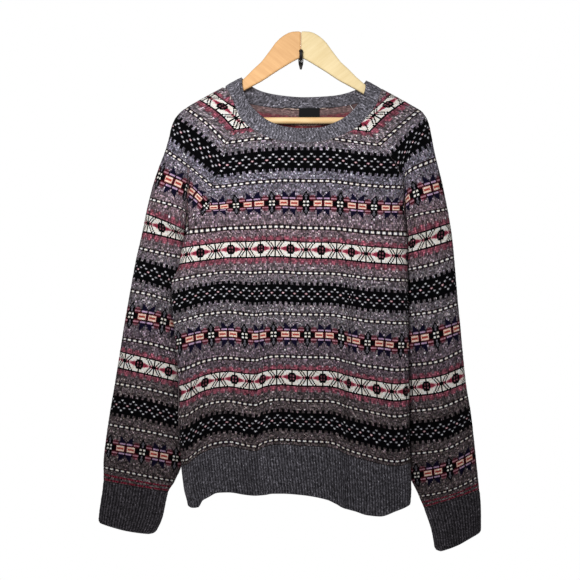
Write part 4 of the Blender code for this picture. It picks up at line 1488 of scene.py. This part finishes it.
label = piece_of("neck_label", woven_label())
print("label", round(LABEL_RIGHT - LABEL_LEFT, 1), "by", LABEL_BOTTOM - LABEL_TOP, "mm")

# %% [markdown]
# ## The hanger
#
# Flat hangers are cut from pale hardwood, here beech, sanded and thinly lacquered. Beech has a fine
# straight grain with short darker flecks. The two halves come from different boards, so one is warmer. The
# grain runs along each arm.

# %% Beech
GRAIN_MM = 1.6
GRAIN_LENGTH_MM = 60.0
FLECK_MM = 0.5
FLECK_LENGTH_MM = 6


def beech(name, pale, warm, lean):
    """Sanded, lacquered beech, its grain leaning by an angle from level in the hanger's plane."""
    lacquer = {"Specular_IOR_Level": 0.25, "Coat_Weight": 0.03, "Coat_Roughness": 0.4}
    finish, tree, shader = new_finish(name, Roughness=0.6, **lacquer)
    place = add_node(tree, "ShaderNodeTexCoord").outputs["Object"]
    turn = (0.0, math.radians(lean), 0.0)
    turned = add_node(tree, "ShaderNodeMapping", Vector=place, Rotation=turn).outputs[0]
    long_grain = stretched(tree, turned, GRAIN_LENGTH_MM, GRAIN_MM * 4, GRAIN_MM * 4)
    grain = noise(tree, long_grain, Scale=1.0, Detail=6.0, Roughness=0.65)
    flecks = noise(tree, stretched(tree, turned, FLECK_LENGTH_MM, FLECK_MM, FLECK_MM), Scale=1.0, Detail=2.0)
    spots = remap(tree, flecks, 0.62, 0.75, 0.0, 0.35)
    band = remap(tree, grain, 0.35, 0.65)
    clamped = {"operation": "ADD", "use_clamp": True}
    amount = add_node(tree, "ShaderNodeMath", clamped, _0=band, _1=spots).outputs[0]
    colour_and_bump(tree, shader, blend(tree, amount, pale, warm), grain, 0.15, 0.2)
    return finish


def refinish(node, finish):
    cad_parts[node].data.materials.clear()
    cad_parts[node].data.materials.append(finish)


refinish("hanger_half_left", beech("beech_left", "#D6A873", "#C89966", -38.0))
refinish("hanger_half_right", beech("beech_right", "#DCC89B", "#D2BC8C", 38.0))
refinish("trouser_bar", beech("beech_bar", "#E3C595", "#D0AA76", 0.0))
print("beech on both halves of the hanger and the bar")

# %% [markdown]
# ## The wall hook
#
# A small hook of forged iron, painted black. The paint lies thinner on edges, so it is a little rough and
# uneven.

# %% Black iron
RUN_MM = 1.5


def painted_iron():
    finish, tree, shader = new_finish("painted_iron", Roughness=0.5, Metallic=0.0, Specular_IOR_Level=0.2)
    place = add_node(tree, "ShaderNodeTexCoord").outputs["Object"]
    runs = noise(tree, place, Scale=1 / (RUN_MM * MM), Detail=4.0)
    tree.links.new(remap(tree, runs, 0.3, 0.7, 0.38, 0.62), shader.inputs["Roughness"])
    colour_and_bump(tree, shader, blend(tree, runs, "#080606", "#17110F"), runs, 0.3, 0.2)
    return finish


refinish("wall_hook", painted_iron())

# %% [markdown]
# ## The flat pieces
#
# Every knitted piece is a sheet of cloth. Their sizes laid flat are not given here.

# %% The knitted sheets
print("the knitted pieces ride on the jumper's one body")

# %% [markdown]
# ## Floor, light and camera
#
# A pale floor well below the hem, a soft spot from the upper left in front, a weak disk behind, and a
# surround that is white to the camera but lights the scene less. The camera stands four metres off with a
# long lens, level with the middle of the jumper, so that nothing is drawn out of shape.

# %% Set the stage
FLOOR_DOWN = 1250 * MM
CAMERA_X, CAMERA_DOWN, CAMERA_AWAY = -19.25 * MM, 402.5 * MM, 4.0
PICTURE_WIDE = 1.015
SENSOR = 36.0
GARMENT_Y = -0.05
FILL = 0.42
KEY_PLACE, KEY_AIM = (-0.35, -2.0, 0.25), (-0.1, -0.06, -0.2)
KEY_REACH = 0.6
KEY_SOFT = 0.3
KEY_WATTS = 215.0
BEHIND_PLACE, BEHIND_AIM = (0.3, 1.8, 0.2), (0.0, 0.0, -0.35)
BEHIND_WIDE = 1.2
BEHIND_WATTS = 25.0

floor_mesh = bpy.data.meshes.new("floor")
shape = bmesh.new()
bmesh.ops.create_grid(shape, x_segments=1, y_segments=1, size=1.0)
shape.to_mesh(floor_mesh)
shape.free()
floor = bpy.data.objects.new("floor", floor_mesh)
floor.location = (0, 0, -FLOOR_DOWN)
bpy.context.scene.collection.objects.link(floor)
pale_floor, _, floor_shader = new_finish("pale_floor", Roughness=0.9)
floor_shader.inputs["Base Color"].default_value = (*linear("#EDEBE8"), 1)
floor_mesh.materials.append(pale_floor)

world = bpy.data.worlds.new("white_surround")
world.use_nodes = True
surround = world.node_tree
seen = add_node(surround, "ShaderNodeLightPath")
strength = remap(surround, seen.outputs["Is Camera Ray"], 0.0, 1.0, FILL, 1.0)
surround.nodes["Background"].inputs["Color"].default_value = (1, 1, 1, 1)
surround.links.new(strength, surround.nodes["Background"].inputs["Strength"])
bpy.context.scene.world = world


def aim(lamp, place, target):
    way = np.array(target) - np.array(place)
    lamp.location = place
    lamp.rotation_euler = (math.atan2(math.hypot(way[0], way[1]), -way[2]), 0, math.atan2(-way[0], way[1]))
    bpy.context.scene.collection.objects.link(lamp)


key = bpy.data.lights.new("key", "SPOT")
key.energy = KEY_WATTS
key.spot_size = 2 * math.atan(KEY_REACH / math.dist(KEY_PLACE, KEY_AIM))
key.spot_blend = 1.0
key.shadow_soft_size = KEY_SOFT
aim(bpy.data.objects.new("key", key), KEY_PLACE, KEY_AIM)
behind = bpy.data.lights.new("behind", "AREA")
behind.shape = "DISK"
behind.size = BEHIND_WIDE
behind.energy = BEHIND_WATTS
aim(bpy.data.objects.new("behind", behind), BEHIND_PLACE, BEHIND_AIM)

camera = bpy.data.cameras.new("camera")
camera.sensor_width = SENSOR
camera.lens = SENSOR * (CAMERA_AWAY + GARMENT_Y) / PICTURE_WIDE
viewer = bpy.data.objects.new("camera", camera)
viewer.location = (CAMERA_X, -CAMERA_AWAY, -CAMERA_DOWN)
viewer.rotation_euler = (math.pi / 2, 0, 0)
bpy.context.scene.collection.objects.link(viewer)
bpy.context.scene.camera = viewer
bpy.context.scene.view_settings.view_transform = "Standard"
print("camera", CAMERA_AWAY, "m away with a lens of", round(camera.lens), "mm")
